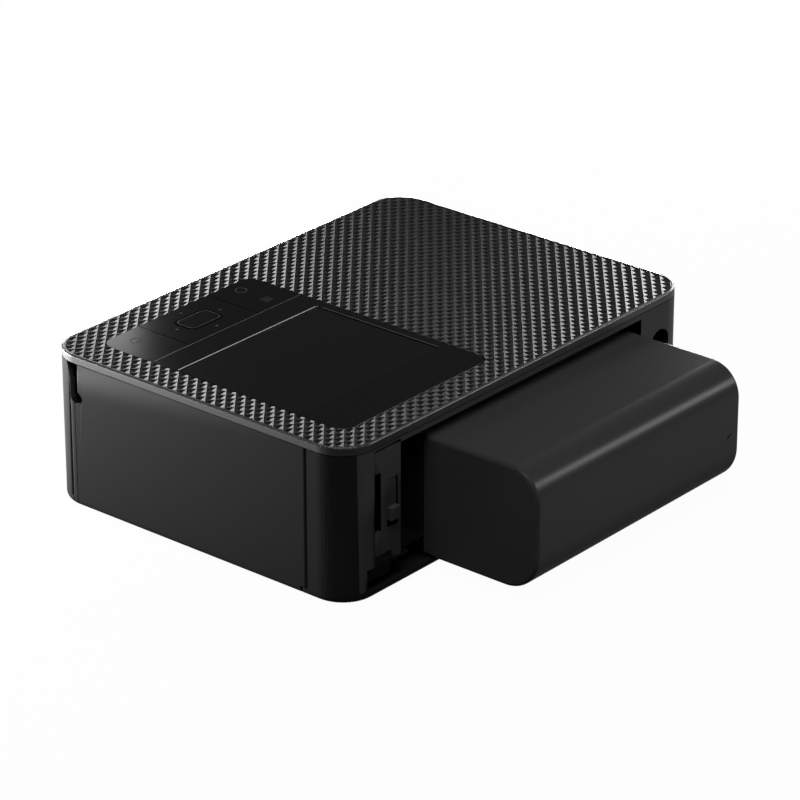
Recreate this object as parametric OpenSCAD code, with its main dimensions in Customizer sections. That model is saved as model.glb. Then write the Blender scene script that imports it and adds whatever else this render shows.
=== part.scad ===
// Compact dye-sublimation photo printer with a slide-on battery pack.
// X runs to the printer's right, Y to its rear, Z up; the table is z = 0.

/* [Body] */
// Width of the body over its side walls
body_w = 182.2; // [181:0.1:192]
// Depth of the body from front wall to rear wall
body_d = 133; // [132:0.1:140]
// Height of the body above the table
body_h = 57.6; // [57.2:0.1:64]
// Plan radius of the four upright corners
corner_r = 12.6; // [11:0.1:13.5]
// Radius along the bottom edge of the walls
edge_r = 2.5; // [2.3:0.1:3]
// Thickness of the moulded walls
wall = 2.2; // [2:0.1:2.4]
// Thickness of the case floor
floor_t = 2; // [1.6:0.1:2.2]
// Height of the rubber feet below the case
foot_h = 1.6; // [1.2:0.1:1.7]
// Radius of a rubber foot
foot_r = 5; // [4:0.1:6]
// Height of the top cover's rim band
rim_h = 2.7; // [2.5:0.1:3]
// Width of the rim's flat edge round the relief
rim_w = 1.2; // [1:0.1:2]
// Depth of the relief field below the rim
relief_h = 0.4; // [0.3:0.05:0.6]
// Gap of the seam under the top cover
seam_gap = 0.2; // [0.15:0.05:0.3]
// Gap between neighbouring pieces that do not touch
gap = 0.3; // [0.25:0.05:0.35]
// Radial clearance of turning shafts and pins
run_fit = 0.06; // [0.03:0.01:0.09]

/* [Control panel] */
// Width of the control panel across X
panel_w = 75; // [70:0.5:75]
// Distance from the body's right side to the panel
panel_side = 13.1; // [12:0.1:14]
// Distance from the body's front to the panel
panel_ahead = 12.2; // [11:0.1:13]
// Distance from the panel to the body's rear
panel_behind = 12; // [11:0.1:13]
// Corner radius of the panel
panel_r = 5.5; // [4:0.1:6]
// Depth of the pocket that holds the panel
pocket_depth = 4.2; // [4:0.1:4.4]
// Depth of the key strip along the front of the panel
key_strip = 24; // [23:0.1:25]
// Distance from the panel's left edge to the display
lcd_left_edge = 3.3; // [2.5:0.1:6]
// Distance from the display to the panel's right edge
lcd_right_edge = 1.1; // [0.9:0.1:3]
// Distance from the key strip to the display
lcd_ahead = 11.8; // [4:0.1:14]
// Distance from the display to the panel's rear edge
lcd_behind = 20; // [18:0.1:26]
// Thickness of the window pane
pane_t = 1.5; // [1.3:0.1:1.6]
// Travel of every key
key_travel = 0.4; // [0.3:0.05:0.4]
// Width of the block of two left keys
left_keys_w = 21.5; // [20:0.5:22]
// Width of the right key
right_key_w = 18.9; // [18:0.1:20]

/* [Ink door] */
// Distance from the door opening to the body's rear
door_behind = 17; // [16:0.5:19]
// Depth of the door's hinge axis below the outer face
door_pivot = 1.3; // [1.25:0.05:1.35]
// Radius of the door's hinge pins
door_pin_r = 0.7; // [0.6:0.05:0.75]

/* [Front flap] */
// Reach of the paper opening past each side of the mechanism
flap_reach = 2; // [1.8:0.1:3]
// Height of the paper opening's top edge
flap_top = 31.3; // [31:0.1:33]
// Height of the flap's hinge axis
flap_axis_z = 7; // [7:0.1:7.4]

/* [Battery bay] */
// Distance from the body's left side to the bay
bay_side_left = 27.4; // [26.5:0.1:30]
// Distance from the bay to the body's right side
bay_side_right = 26.7; // [25:0.1:28]
// Height of the bay's floor, which is also the roof of the paper exit
bay_floor = 12.3; // [12:0.1:12.5]
// Distance from the bay's ceiling to the seam under the cover
bay_above = 1.9; // [1.8:0.1:3]
// Depth of the bay from the rear face
bay_depth = 14.5; // [14.4:0.1:14.8]
// Thickness of the bay housing's walls
bay_wall = 1.6; // [1.4:0.1:1.6]
// Top of the lip below the paper exit
lip_top = 4.6; // [4.4:0.1:4.6]

/* [Battery pack] */
// Clearance between the pack and the bay's left end
pack_side = 2.2; // [1.9:0.1:4]
// Clearance left at the bay's right end once the pack is slid across
pack_stop = 4.65; // [4.2:0.05:7]
// Underside of the pack's shell
pack_bottom = 4.9; // [4.9:0.1:5.5]
// Clearance between the pack's top and the bay's ceiling
pack_above = 4.2; // [3:0.1:6]
// Distance from the printer's rear face to the pack's outer face
pack_reach = 44; // [42:0.5:50]
// Depth of the seam between base and shell inside the rear face
pack_seam = 3.35; // [3.2:0.05:3.6]
// Radius of the pack's upper long edge
pack_top_r = 11.5; // [9:0.5:13]
// Radius of the pack's lower long edge
pack_low_r = 13.5; // [11:0.5:14]
// Radius round the pack's ends
pack_end_r = 1.4; // [1:0.1:1.6]
// Wall thickness of the pack
pack_wall = 1.6; // [1.4:0.1:1.8]
// Sideways travel that frees the pack
pack_travel = 11; // [9:0.5:11]

/* [Release slide] */
// Height of the slide window's lower edge
window_low = 24.8; // [24:0.1:25]
// Distance from the slide window's upper edge to the bay's ceiling
window_above = 11; // [9:0.1:13]
// Width of the slide window
window_w = 5.2; // [5:0.1:5.4]
// Travel of the release slide
slide_travel = 2; // [1.5:0.1:2]

/* [Print mechanism] */
// Room for the drive, boards and ports left of the mechanism
drive_room = 46.9; // [46.5:0.1:49]
// Room between the mechanism and the right wall
door_room = 18.1; // [17.5:0.1:20]
// Radius of the platen roller
platen_r = 4.7; // [4.3:0.1:4.7]
// Radius of the grip roller
grip_r = 4.5; // [4.2:0.1:4.5]
// Radius of the pinch roller
pinch_r = 3.8; // [3.4:0.1:3.8]
// Radius of the pick-up rollers
pickup_r = 7; // [6.6:0.1:7]
// Radius of the roller shafts
shaft_r = 2; // [1.6:0.1:2]
// Thickness of the steel plates
plate_t = 1.2; // [1:0.1:1.2]
// Distance that the print head drops
head_drop = 11; // [10:0.1:11]
// Width of the print head along the paper's path
head_w = 9; // [7:0.5:9]
// Face width of the gears
gear_w = 3; // [2.5:0.1:3]

/* [Ink cassette] */
// Outer radius of a ribbon chamber
chamber_r = 12; // [11.6:0.1:12]
// Wall thickness of the cassette
case_t = 1.2; // [1:0.1:1.3]
// Radius of the fresh ribbon roll
supply_r = 9.5; // [8:0.1:9.5]
// Radius of the used ribbon roll
takeup_r = 5.5; // [5:0.1:7]
// Distance that the released cassette springs out
eject = 4; // [3:0.5:4]

/* [Hidden] */
$fn = 64;
eps = 0.01;
gear_m = 0.6;
far = 400;

// The pack reaches behind the body, so the whole product is centred here.
pack_back = body_d / 2 + pack_reach;
centre_y = (pack_back - body_d / 2) / 2;

out_x = body_w / 2;
out_y = body_d / 2;
in_x = out_x - wall;
in_y = out_y - wall;
floor_z = foot_h + floor_t;
seam_z = body_h - rim_h;
wall_top = seam_z - seam_gap;
deck_z = body_h - relief_h;
deck_t = 1.6;
lip_h = 2;
lip_t = 1.2;
opening_x = out_x - 21.1;
opening_y = out_y - 20.5;
base_z = floor_z + plate_t;
frame_z = base_z + 0.3;
plate_lap = 4;

// Control panel levels, counted down from the top
pocket_z = body_h - pocket_depth;
pocket_t = 1;
face_z = body_h - 0.1;
panel_plate_z = face_z - pane_t;
step_t = 0.8;
step_floor_t = 0.6;
panel_right = out_x - panel_side;
panel_left = panel_right - panel_w;
panel_rear = out_y - panel_behind;
panel_front = -out_y + panel_ahead;
fit_gap = 0.15;
strip_rear = panel_front + key_strip;
pocket_wall = 1.2;
key_t = 0.95;
key_z = face_z - key_t;
board_t = 1;
board_top = pocket_z + board_t;
dome_h = 0.5;
dome_r = 1.8;
stem_r = 1.8;
lcd_left = panel_left + lcd_left_edge;
lcd_right = panel_right - lcd_right_edge;
lcd_front = strip_rear + lcd_ahead;
lcd_rear = panel_rear - lcd_behind;
ok_w = 15;
ok_l = 8.6;
left_seam = panel_left + left_keys_w;
right_seam = panel_right - right_key_w;
key_split = panel_front + key_strip / 2 - 0.3;
pad_x = (left_seam + right_seam) / 2;
pad_y = panel_front + key_strip / 2;
left_x = (panel_left + left_seam) / 2;
power_x = (right_seam + panel_right) / 2;

// Doors
door_front = -out_y + corner_r;
door_rear = out_y - door_behind;
door_axis = [out_x - door_pivot, door_rear - door_pivot - 0.25];
door_low = foot_h + 0.6;
sill_z = 4.5;
sill_y = door_axis[1] - door_pivot;
flap_axis_y = -out_y + door_pivot;
flap_low = flap_axis_z - door_pivot - 0.25;

// Battery bay
bay_left = -out_x + bay_side_left;
bay_right = out_x - bay_side_right;
bay_top = wall_top - bay_above;
bay_back = out_y - bay_depth;
bay_front = bay_back - bay_wall;
bay_roof_t = 1;
step_y = bay_front - gap - pocket_wall;
shelf_y = out_y - 0.3;
shelf_left = bay_right - 4.2;
shelf_right = bay_right + 15.1;
block_right = bay_right + 16.6;
block_z = bay_floor - 4.3;
plate_right = bay_right + 12.7;
plate_low = bay_floor + 3.7;
notch_left = bay_right + 4.5;
pack_left = bay_left + pack_side;
pack_right = bay_right - pack_travel - pack_stop;
pack_top = bay_top - pack_above;
seam_y = out_y - pack_seam;
base_low = bay_floor + gap;
base_front = bay_back + 1.2;
pocket_top = bay_floor + gap;
claws = [for (x = [pack_left + 16.5, pack_right - 28.75], z = [base_low + 6.9, pack_top - 6.6]) [x, z]];
claw_w = 6;
claw_h = 3;
hook_h = 7;
hook_t = 1.8;
// Two cells fill the shell's depth behind its seam
cell_gap = 0.6;
cell_side = 1.6;
cell_r = (pack_back - pack_wall - seam_y - 2 * cell_side - cell_gap - 0.35) / 4;
cell_end = pack_right - 37.25;
window_high = bay_top - window_above;
slider_x = bay_right + 1.6 + window_w / 2;
slider_z = window_low + slide_travel + 0.1;
bar_z = window_high - 5.8;
bar_tip_x = pack_right - 7;

// Print mechanism
paper_z = base_z + 2 * max(platen_r, grip_r) + 0.4;
mech_left = -in_x + drive_room;
mech_right = in_x - door_room;
mech_mid = (mech_left + mech_right) / 2;
flap_left = mech_left - flap_reach;
flap_right = mech_right + flap_reach + 0.2;
exit_left = mech_left + 2;
exit_right = mech_right - 1.6;
roll_left = mech_left + 6;
roll_right = mech_right - 5.8;
// The mechanism takes its place in the free depth between the front wall and the bay
mech_len = 99.7;
claw_room = 2.7;
rear_share = 0.1;
throat_share = 0.1;
spare_y = bay_front + in_y - mech_len;
mech_rear = bay_front - claw_room - rear_share * spare_y;
throat = 5 + throat_share * spare_y;
takeup_y = mech_rear - 2.2 - chamber_r;
platen_y = takeup_y - chamber_r - throat;
supply_y = platen_y - chamber_r - throat;
grip_y = supply_y - chamber_r - 6;
grip_z = paper_z - 0.1 - grip_r;
pinch_z = paper_z + 0.2 + pinch_r;
spool_z = paper_z + 1.9 + chamber_r;
spool_top = spool_z + chamber_r;
beam_y = [platen_y - 7.5, platen_y + 7.5];
// Beam and main board share the free height between the cassette and the panel's pocket
pcb_t = 1.6;
chip_h = 1.2;
beam_share = 0.27;
board_share = 0.3;
spare_z = pocket_z - pocket_t - spool_top - plate_t - pcb_t - chip_h;
mech_top = spool_top + beam_share * spare_z;
main_z = mech_top + plate_t + board_share * spare_z;
cassette_left = mech_left + 4;
cassette_right = in_x - 6.9;
end_t = 3.6;
case_left_t = 3;
bridge_top = 24;
guide_x = mech_right - 2.3;
guide_r = 1.5;
head_z = paper_z + 0.4 + head_drop;
head_x = [cassette_left + case_left_t + eject + 0.6, mech_right - 5.3];
sink_z = head_z + 8;
carriage_z = mech_top - 0.4;
sleeve_h = 6;

// Gear train: every gear turns about X in one plane beside the left plate
gear_x = mech_left - plate_t - 7.8 - gear_w;
n_pinion = 12;
n_grip = 14;
n_idler = 36;
n_takeup = 30;
n_pickup = 40;
n_lift = 16;
n_screw = 37;
function pitch_r(n) = gear_m * n / 2;
function pitch_gap(a, b) = pitch_r(a) + pitch_r(b);
function polar(p, r, a) = [p[0] + r * cos(a), p[1] + r * sin(a)];
function bearing(p, q) = atan2(q[1] - p[1], q[0] - p[0]);
grip_at = [grip_y, grip_z];
idler_at = polar(grip_at, pitch_gap(n_grip, n_idler), 53.13);
pinion_at = polar(idler_at, pitch_gap(n_idler, n_pinion), 143.13);
pickup_at = polar(pinion_at, pitch_gap(n_pinion, n_pickup), 168.5);
takeup_at = [takeup_y, spool_z];
span = norm(takeup_at - idler_at);
n_transfer = ceil(span / gear_m - (n_idler + n_takeup) / 2);
side_a = pitch_gap(n_idler, n_transfer);
side_b = pitch_gap(n_transfer, n_takeup);
span_angle = acos((side_a ^ 2 + span ^ 2 - side_b ^ 2) / (2 * side_a * span));
transfer_at = polar(idler_at, side_a, bearing(idler_at, takeup_at) - span_angle);
axle_r = 1.5;
mech_front = pickup_at[0] - 6;
pickup_w = 12;
pickup_x = [mech_mid - 14.4, mech_mid + 7.6];
pickup_end = mech_mid + 27.6;
chute_top = pickup_at[1] - shaft_r - 3.25;
screw_r = 1.6;
screw_x = mech_left - plate_t - 3.9;
lift_x = screw_x - pitch_gap(n_screw, n_lift);
lift_gear_z = mech_top + plate_t + 0.4;
lift_gear_h = 1.6;
feed_motor_x = [-out_x + 11.1, gear_x - 2];
motor_r = 10;
lift_motor_r = 8;

// Boards and ports
board_x = [mech_left + 18, mech_right + plate_t];
board_y = [-out_y + 16.5, out_y - 22.5];
board_mid = [(board_x[0] + board_x[1]) / 2, (board_y[0] + board_y[1]) / 2];
io_rear = pinion_at[0] - motor_r - 3;
io_z = 23.4;
socket_x = [-out_x + 10.8, gear_x - 0.8];
slot_w = 24.4;
usb_at = [-out_x + 25.1, 21.6];
dc_at = [-out_x + 16.4, bay_top - 12.5];
dc_r = 5.1;
fan_at = [out_y - 43.5, 23];
fan_size = 30;
fan_t = 8;
fan_x = -in_x + 0.3;
post_r = 3.4;
posts = [[out_x - 11, -out_y + 11.5], [out_x - 11, out_y - 11.5], [-out_x + 7.1, grip_y - 10],
    [-out_x + 7.6, out_y - 22]];

charcoal = [0.07, 0.07, 0.075];
satin = [0.1, 0.1, 0.105];
gloss = [0.02, 0.02, 0.025];
steel = [0.62, 0.63, 0.65];
zinc = [0.5, 0.52, 0.54];
nylon = [0.86, 0.85, 0.8];
rubber = [0.12, 0.12, 0.12];
pcb = [0.05, 0.28, 0.14];

// ---- Shared forms ----

// Box between two limits on each axis
module block(x, y, z) {
    translate([x[0], y[0], z[0]]) cube([x[1] - x[0], y[1] - y[0], z[1] - z[0]]);
}

// Rounded rectangle centred on the origin
module plan(w, d, r) {
    square([w - 2 * r, d], center = true);
    square([w, d - 2 * r], center = true);
    for (x = [-1, 1], y = [-1, 1]) translate([x * (w / 2 - r), y * (d / 2 - r)]) circle(r);
}

// Upright slab with rounded plan corners between limits
module slab(x, y, z, r) {
    translate([(x[0] + x[1]) / 2, (y[0] + y[1]) / 2, z[0]])
        linear_extrude(z[1] - z[0]) plan(x[1] - x[0], y[1] - y[0], r);
}

// Outline drawn in Y and Z, pulled along X
module along_x(x) {
    translate([x[0], 0, 0]) rotate([90, 0, 90]) linear_extrude(x[1] - x[0]) children();
}

// Outline drawn in X and Z, pulled along Y
module along_y(y) {
    translate([0, y[1], 0]) rotate([90, 0, 0]) linear_extrude(y[1] - y[0]) children();
}

module rod_x(x, at, r) {
    translate([x[0], at[0], at[1]]) rotate([0, 90, 0]) cylinder(h = x[1] - x[0], r = r);
}

module rod_y(y, at, r) {
    translate([at[0], y[1], at[1]]) rotate([90, 0, 0]) cylinder(h = y[1] - y[0], r = r);
}

module rod_z(z, at, r) {
    translate([at[0], at[1], z[0]]) cylinder(h = z[1] - z[0], r = r);
}

// Solid with rounded upright corners and a rounded lower edge
module tub(w, d, r, z0, z1, e) {
    module wall_run(half, len) {
        rotate([90, 0, 90]) translate([0, 0, -len / 2]) linear_extrude(len) {
            translate([-half, z0 + e]) square([2 * half, z1 - z0 - e]);
            translate([-half + e, z0]) square([2 * half - 2 * e, z1 - z0]);
            for (s = [-1, 1]) translate([s * (half - e), z0 + e]) circle(e);
        }
    }
    wall_run(d / 2, w - 2 * r);
    rotate(90) wall_run(w / 2, d - 2 * r);
    for (x = [-1, 1], y = [-1, 1]) translate([x * (w / 2 - r), y * (d / 2 - r), 0]) rotate_extrude() {
        translate([0, z0 + e]) square([r, z1 - z0 - e]);
        translate([0, z0]) square([r - e, z1 - z0]);
        translate([r - e, z0 + e]) circle(e);
    }
}

module outer_form() {
    tub(body_w, body_d, corner_r, foot_h, wall_top, edge_r);
}

// Involute tooth flanks: half of the tooth's angle at radius r
tooth_play = 0.055;
pressure = 20;
function inv_deg(a) = tan(a) * 180 / PI - a;
function base_r(n) = pitch_r(n) * cos(pressure);
function flank_inv(n, r) = r > base_r(n) ? inv_deg(acos(base_r(n) / r)) : 0;
function half_tooth(n, r) =
    (PI * gear_m / 4 - tooth_play) / pitch_r(n) * 180 / PI + inv_deg(pressure) - flank_inv(n, r);
function tip_r(n) = pitch_r(n) + 0.8 * gear_m;
function root_r(n) = pitch_r(n) - 1.15 * gear_m;
function flank_radii(n) = let (low = max(base_r(n), root_r(n) + 0.02))
    [root_r(n), low, (low + pitch_r(n)) / 2, pitch_r(n), (pitch_r(n) + tip_r(n)) / 2, tip_r(n)];
function flank(n, mid, side) = [for (r = flank_radii(n)) polar([0, 0], r, mid + side * half_tooth(n, r))];
function reversed(v) = [for (i = [len(v) - 1 : -1 : 0]) v[i]];

module gear_outline(n) {
    polygon([for (k = [0 : n - 1]) each concat(flank(n, 360 * k / n, -1), reversed(flank(n, 360 * k / n, 1)))]);
}

// Turn that puts the driven gear's tooth space on the driver's tooth
function mesh_turn(th, driver_turn, n1, n2) = th + 180 - ((driver_turn - th) * n1 + 180) / n2;
idler_turn = mesh_turn(bearing(pinion_at, idler_at), 0, n_pinion, n_idler);
pickup_turn = mesh_turn(bearing(pinion_at, pickup_at), 0, n_pinion, n_pickup);
grip_turn = mesh_turn(bearing(idler_at, grip_at), idler_turn, n_idler, n_grip);
transfer_turn = mesh_turn(bearing(idler_at, transfer_at), idler_turn, n_idler, n_transfer);
takeup_turn = mesh_turn(bearing(transfer_at, takeup_at), transfer_turn, n_transfer, n_takeup);
lift_turn = mesh_turn(180, 0, n_screw, n_lift);

// Gear on an X axis in the train's plane, with an optional bore
module train_gear(at, n, turn, bore) {
    difference() {
        translate([gear_x, at[0], at[1]]) rotate([90, 0, 90]) rotate(turn)
            linear_extrude(gear_w) gear_outline(n);
        if (bore > 0) rod_x([gear_x - 1, gear_x + gear_w + 1], at, bore);
        if (n > 28) gear_windows(at, n);
    }
}

// Five round lightening holes in a gear's web
module gear_windows(at, n) {
    web_r = (root_r(n) + 3) / 2;
    hole_r = (root_r(n) - 3) / 2 - 1.2;
    for (k = [0 : 4]) rod_x([gear_x - 1, gear_x + gear_w + 1], polar(at, web_r, 72 * k), hole_r);
}

// ---- Case ----

// Outline of the finger recess at the ink door's front edge
module finger_recess() {
    translate([door_front, seam_z]) {
        polygon([[-3.9, 1], [1.7, 1], [1.7, -11.9], [-1.7, -11.9], [-1.7, -6.9], [-2.6, -3.4]]);
        translate([0.6, -12.3]) circle(2.3);
        translate([1.9, -12.7]) circle(1.7);
    }
}

module floor_opening() {
    slab([-opening_x, opening_x], [-opening_y, opening_y], [0, floor_z + 1], 6);
}

module ink_door_opening() {
    block([out_x - edge_r, out_x + 1], [door_front - 0.15, door_rear], [0, body_h]);
    along_x([in_x - 1, out_x + 1]) finger_recess();
}

module front_opening() {
    block([flap_left, flap_right], [-out_y - 1, -in_y + 1], [flap_low, flap_top]);
}

module rear_opening() {
    block([bay_left, bay_right], [in_y - 1, out_y + 1], [lip_top, bay_top]);
    block([bay_right - eps, plate_right + gap], [in_y - 1, out_y + 1], [lip_top, bay_top + 1.2]);
    block([plate_right, block_right], [in_y - 4, out_y + 1], [lip_top, bay_floor + gap]);
}

// Row of round-ended slots
module vent_slots(count, pitch, length) {
    for (k = [0 : count - 1]) translate([(k - (count - 1) / 2) * pitch, 0]) plan(2, length, 0.99);
}

module port_openings() {
    along_y([-out_y - 1, -in_y + 1]) {
        translate([(socket_x[0] + socket_x[1]) / 2, io_z + 3.2]) plan(slot_w, 2.6, 0.5);
        translate(usb_at) plan(9.4, 3.4, 1.6);
    }
    rod_y([in_y - 1, out_y + 1], dc_at, dc_r);
}

module case_form() {
    difference() {
        union() {
            difference() {
                outer_form();
                translate([0, 0, floor_z]) linear_extrude(far) plan(2 * in_x, 2 * in_y, corner_r - wall);
                ink_door_opening();
            }
            // Sill under the door's lower hinge pin
            intersection() {
                outer_form();
                union() {
                    block([in_x - 3, door_axis[0]], [sill_y, door_rear + 0.2], [foot_h, sill_z]);
                    block([in_x - 3, out_x], [door_axis[1], door_rear + 0.2], [foot_h, sill_z]);
                    rod_z([foot_h, sill_z], door_axis, door_pivot);
                }
            }
            // Wall behind the finger recess
            intersection() {
                outer_form();
                block([out_x - 6.6, out_x - 5.4], [-out_y, door_front + 4.4],
                    [seam_z - 16.4, wall_top - lip_h]);
            }
            for (p = posts) rod_z([floor_z - eps, wall_top - lip_h - gap], p, post_r);
            // Webs that tie the left posts to the wall
            for (p = [posts[2], posts[3]])
                block([-in_x - eps, p[0]], [p[1] - 0.8, p[1] + 0.8], [floor_z - eps, wall_top - lip_h - gap]);
            // Bosses for the flap's hinge pins
            for (x = [flap_left - 4, flap_right])
                block([x, x + 4], [-in_y - eps, -in_y + 1.4], [flap_axis_z - 2, flap_axis_z + 2]);
            // Posts under the port board
            for (x = [socket_x[0] + 3, socket_x[1] - 3]) rod_z([floor_z - eps, io_z], [x, -out_y + 14.5], 1.8);
        }
        floor_opening();
        front_opening();
        rear_opening();
        port_openings();
        rod_x([flap_left - 2.4, flap_right + 2.4], [flap_axis_y, flap_axis_z], door_pin_r + run_fit);
        rod_z([sill_z - 1.7, far], door_axis, door_pin_r + run_fit);
        for (p = posts) rod_z([floor_z + 8, far], p, 1.3);
        // Fan grille in the left wall
        translate([-out_x - 1, fan_at[0], fan_at[1]]) rotate([90, 0, 90])
            linear_extrude(wall + 2) vent_slots(7, 3.6, 22);
        // Fine groove beside the ink door
        block([in_x, out_x], [door_front - 2.15, door_front - 1.8], [door_low, seam_z - 15.4]);
    }
}

// The walls stand on the base frame
module body_shell() {
    color(charcoal) difference() {
        case_form();
        block([-far, far], [-far, far], [0, frame_z]);
    }
}

module base_frame() {
    color(charcoal) intersection() {
        case_form();
        block([-far, far], [-far, far], [0, frame_z]);
    }
}

module bottom_plate() {
    color(charcoal) difference() {
        slab([-opening_x - plate_lap, opening_x + plate_lap], [-opening_y - plate_lap, opening_y + plate_lap],
            [floor_z, base_z], 8);
        for (x = [-34, 34]) translate([x, -18, floor_z - 1]) linear_extrude(far) vent_slots(9, 5, 24);
    }
}

module feet() {
    color(rubber) for (x = [-1, 1], y = [-1, 1])
        rod_z([0, foot_h], [x * (out_x - 13.5), y * (out_y - 13.5)], foot_r);
}

// Room for the panel in the top cover
module panel_room(z0, z1, grow) {
    slab([panel_left - grow, panel_right + grow], [panel_front - grow, panel_rear + grow], [z0, z1],
        panel_r + grow);
}

// The same room, deep at the front and shallow over the battery bay
module stepped_room(deep, shallow, top, grow) {
    panel_room(shallow, top, grow);
    intersection() {
        panel_room(deep, shallow + eps, grow);
        block([-far, far], [-far, step_y + grow], [0, far]);
    }
}

module top_cover() {
    color(charcoal) difference() {
        union() {
            difference() {
                mirror([0, 0, 1]) tub(body_w, body_d, corner_r, -body_h, -seam_z, 0.6);
                translate([0, 0, deck_z]) linear_extrude(far)
                    plan(body_w - 2 * rim_w, body_d - 2 * rim_w, corner_r - rim_w);
                translate([0, 0, seam_z - 1]) linear_extrude(deck_z - deck_t - seam_z + 1)
                    plan(body_w - 8, body_d - 8, corner_r - 4);
            }
            stepped_room(pocket_z - pocket_t, panel_plate_z - step_t - step_floor_t, deck_z - eps, pocket_wall);
            cover_lip();
            // Bosses that carry the main board
            for (x = [board_x[0] + 5, board_x[1] - 8], y = [board_y[0] + 6, board_y[1] - 5])
                rod_z([main_z + pcb_t, x < 0 ? deck_z - eps : pocket_z - eps], [x, y], 2.2);
            for (p = posts) rod_z([wall_top - lip_h, deck_z - eps], p, post_r);
        }
        stepped_room(pocket_z, panel_plate_z - step_t, far, 0);
        block([lcd_left + 6, lcd_right - 6], [lcd_front + 8, lcd_front + 20], [0, pocket_z + 1]);
        block([panel_left + 8, panel_right - 8], [strip_rear + 1, strip_rear + 5], [0, pocket_z + 1]);
        rod_z([0, seam_z + 1.6], door_axis, door_pin_r + run_fit);
    }
}

// Locating lip inside the walls, open where the bay, the finger recess and the plate need room
module cover_lip() {
    reach = gap;
    difference() {
        translate([0, 0, wall_top - lip_h + gap]) linear_extrude(lip_h + 1.4) difference() {
            plan(2 * (in_x - reach), 2 * (in_y - reach), corner_r - wall - reach);
            plan(2 * (in_x - reach - lip_t), 2 * (in_y - reach - lip_t), corner_r - wall - reach - lip_t);
        }
        block([bay_left - 4, out_x], [out_y - 20, out_y], [0, far]);
        block([in_x - 10, out_x], [-out_y, door_front + 6], [0, far]);
    }
}

// ---- Control panel ----

module control_panel() {
    color(satin) difference() {
        stepped_room(pocket_z, panel_plate_z - step_t, panel_plate_z, -fit_gap);
        // Hollow over the key board
        slab([panel_left + 1.4, panel_right - 1.4], [panel_front + 1.4, strip_rear - 0.5],
            [pocket_z - 1, board_top + 0.2], 3);
        slab([lcd_left - 0.7, lcd_right + 0.2], [lcd_front - 2.2, lcd_rear + 2.2], [pocket_z - 1, far], 1);
        for (p = key_centres) rod_z([pocket_z, far], p, stem_r + gap);
    }
}

key_centres = [[power_x, pad_y], [pad_x - 11.5, pad_y], [pad_x + 11.5, pad_y], [pad_x, pad_y],
    [left_x, key_split - 6], [left_x, key_split + 6]];

module key_board() {
    color(pcb) slab([panel_left + 1.7, panel_right - 1.7], [panel_front + 1.7, strip_rear - 0.8],
        [pocket_z, board_top], 2);
    color(steel) for (p = key_centres) rod_z([board_top, board_top + dome_h], p, dome_r);
}

// Stem that reaches from a cap to its dome
module key_stem(p, top) {
    rod_z([board_top + dome_h + key_travel + 0.05, top], p, stem_r);
}

module lcd_window() {
    color(gloss) intersection() {
        panel_room(panel_plate_z, face_z, -fit_gap);
        block([0, far], [strip_rear + fit_gap / 2, far], [0, far]);
    }
}

module lcd_module() {
    color([0.16, 0.17, 0.18])
        slab([lcd_left - 0.5, lcd_right], [lcd_front - 2, lcd_rear + 2], [pocket_z, panel_plate_z - 0.1], 0.8);
}

// Key cap cut from the panel's own outline
module cap(x, y) {
    intersection() {
        panel_room(key_z, face_z, -fit_gap);
        block(x, y, [0, far]);
    }
}

module power_key() {
    color(satin) {
        cap([right_seam + fit_gap, far], [-far, strip_rear - fit_gap]);
        key_stem(key_centres[0], key_z + eps);
    }
}

module nav_pad() {
    color(satin) {
        difference() {
            cap([left_seam + fit_gap, right_seam - fit_gap], [-far, strip_rear - fit_gap]);
            slab([pad_x - ok_w / 2 - fit_gap, pad_x + ok_w / 2 + fit_gap],
                [pad_y - ok_l / 2 - fit_gap, pad_y + ok_l / 2 + fit_gap], [0, far], 2.4);
        }
        for (k = [1, 2]) key_stem(key_centres[k], key_z + eps);
    }
}

module ok_key() {
    color(satin) {
        slab([pad_x - ok_w / 2, pad_x + ok_w / 2], [pad_y - ok_l / 2, pad_y + ok_l / 2],
            [key_z, face_z + 0.1], 2.25);
        key_stem(key_centres[3], key_z + eps);
    }
}

module print_key() {
    color(satin) {
        cap([0, left_seam - fit_gap], [-far, key_split - fit_gap / 2]);
        key_stem(key_centres[4], key_z + eps);
    }
}

module menu_key() {
    color(satin) {
        cap([0, left_seam - fit_gap], [key_split + fit_gap / 2, strip_rear - fit_gap]);
        key_stem(key_centres[5], key_z + eps);
    }
}

// ---- Doors ----

module ink_door() {
    color(charcoal) difference() {
        union() {
            intersection() {
                outer_form();
                difference() {
                    block([in_x, out_x], [door_front + 0.15, door_axis[1]], [door_low, far]);
                    along_x([in_x - 1, out_x + 1]) finger_recess();
                }
            }
            // Rounded hinge edge, concentric with the axis
            rod_z([sill_z + gap, wall_top], door_axis, door_pivot);
            // Stiffening ribs
            for (z = [12, 30, seam_z - 8.9])
                block([in_x - 1.4, in_x + eps], [door_front + 6, door_axis[1] - 4], [z, z + 1.2]);
            // Latch nose at the free edge
            along_y([door_front + 4, door_front + 8])
                polygon([[in_x + eps, 21], [in_x - 2.4, 23], [in_x - 2.4, 27], [in_x + eps, 27]]);
            rod_z([sill_z - 1.5, wall_top + 1.6], door_axis, door_pin_r);
        }
        // Corner that stands over the sill
        difference() {
            block([in_x - 1, out_x + 1], [sill_y - gap, far], [0, sill_z + gap]);
            rod_z([sill_z - 1.5, far], door_axis, door_pin_r);
        }
        // Pull edge behind the recess
        block([in_x - 1, in_x + 0.8], [door_front, door_front + 3.4], [seam_z - 10.9, seam_z - 2.9]);
    }
}

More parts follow.
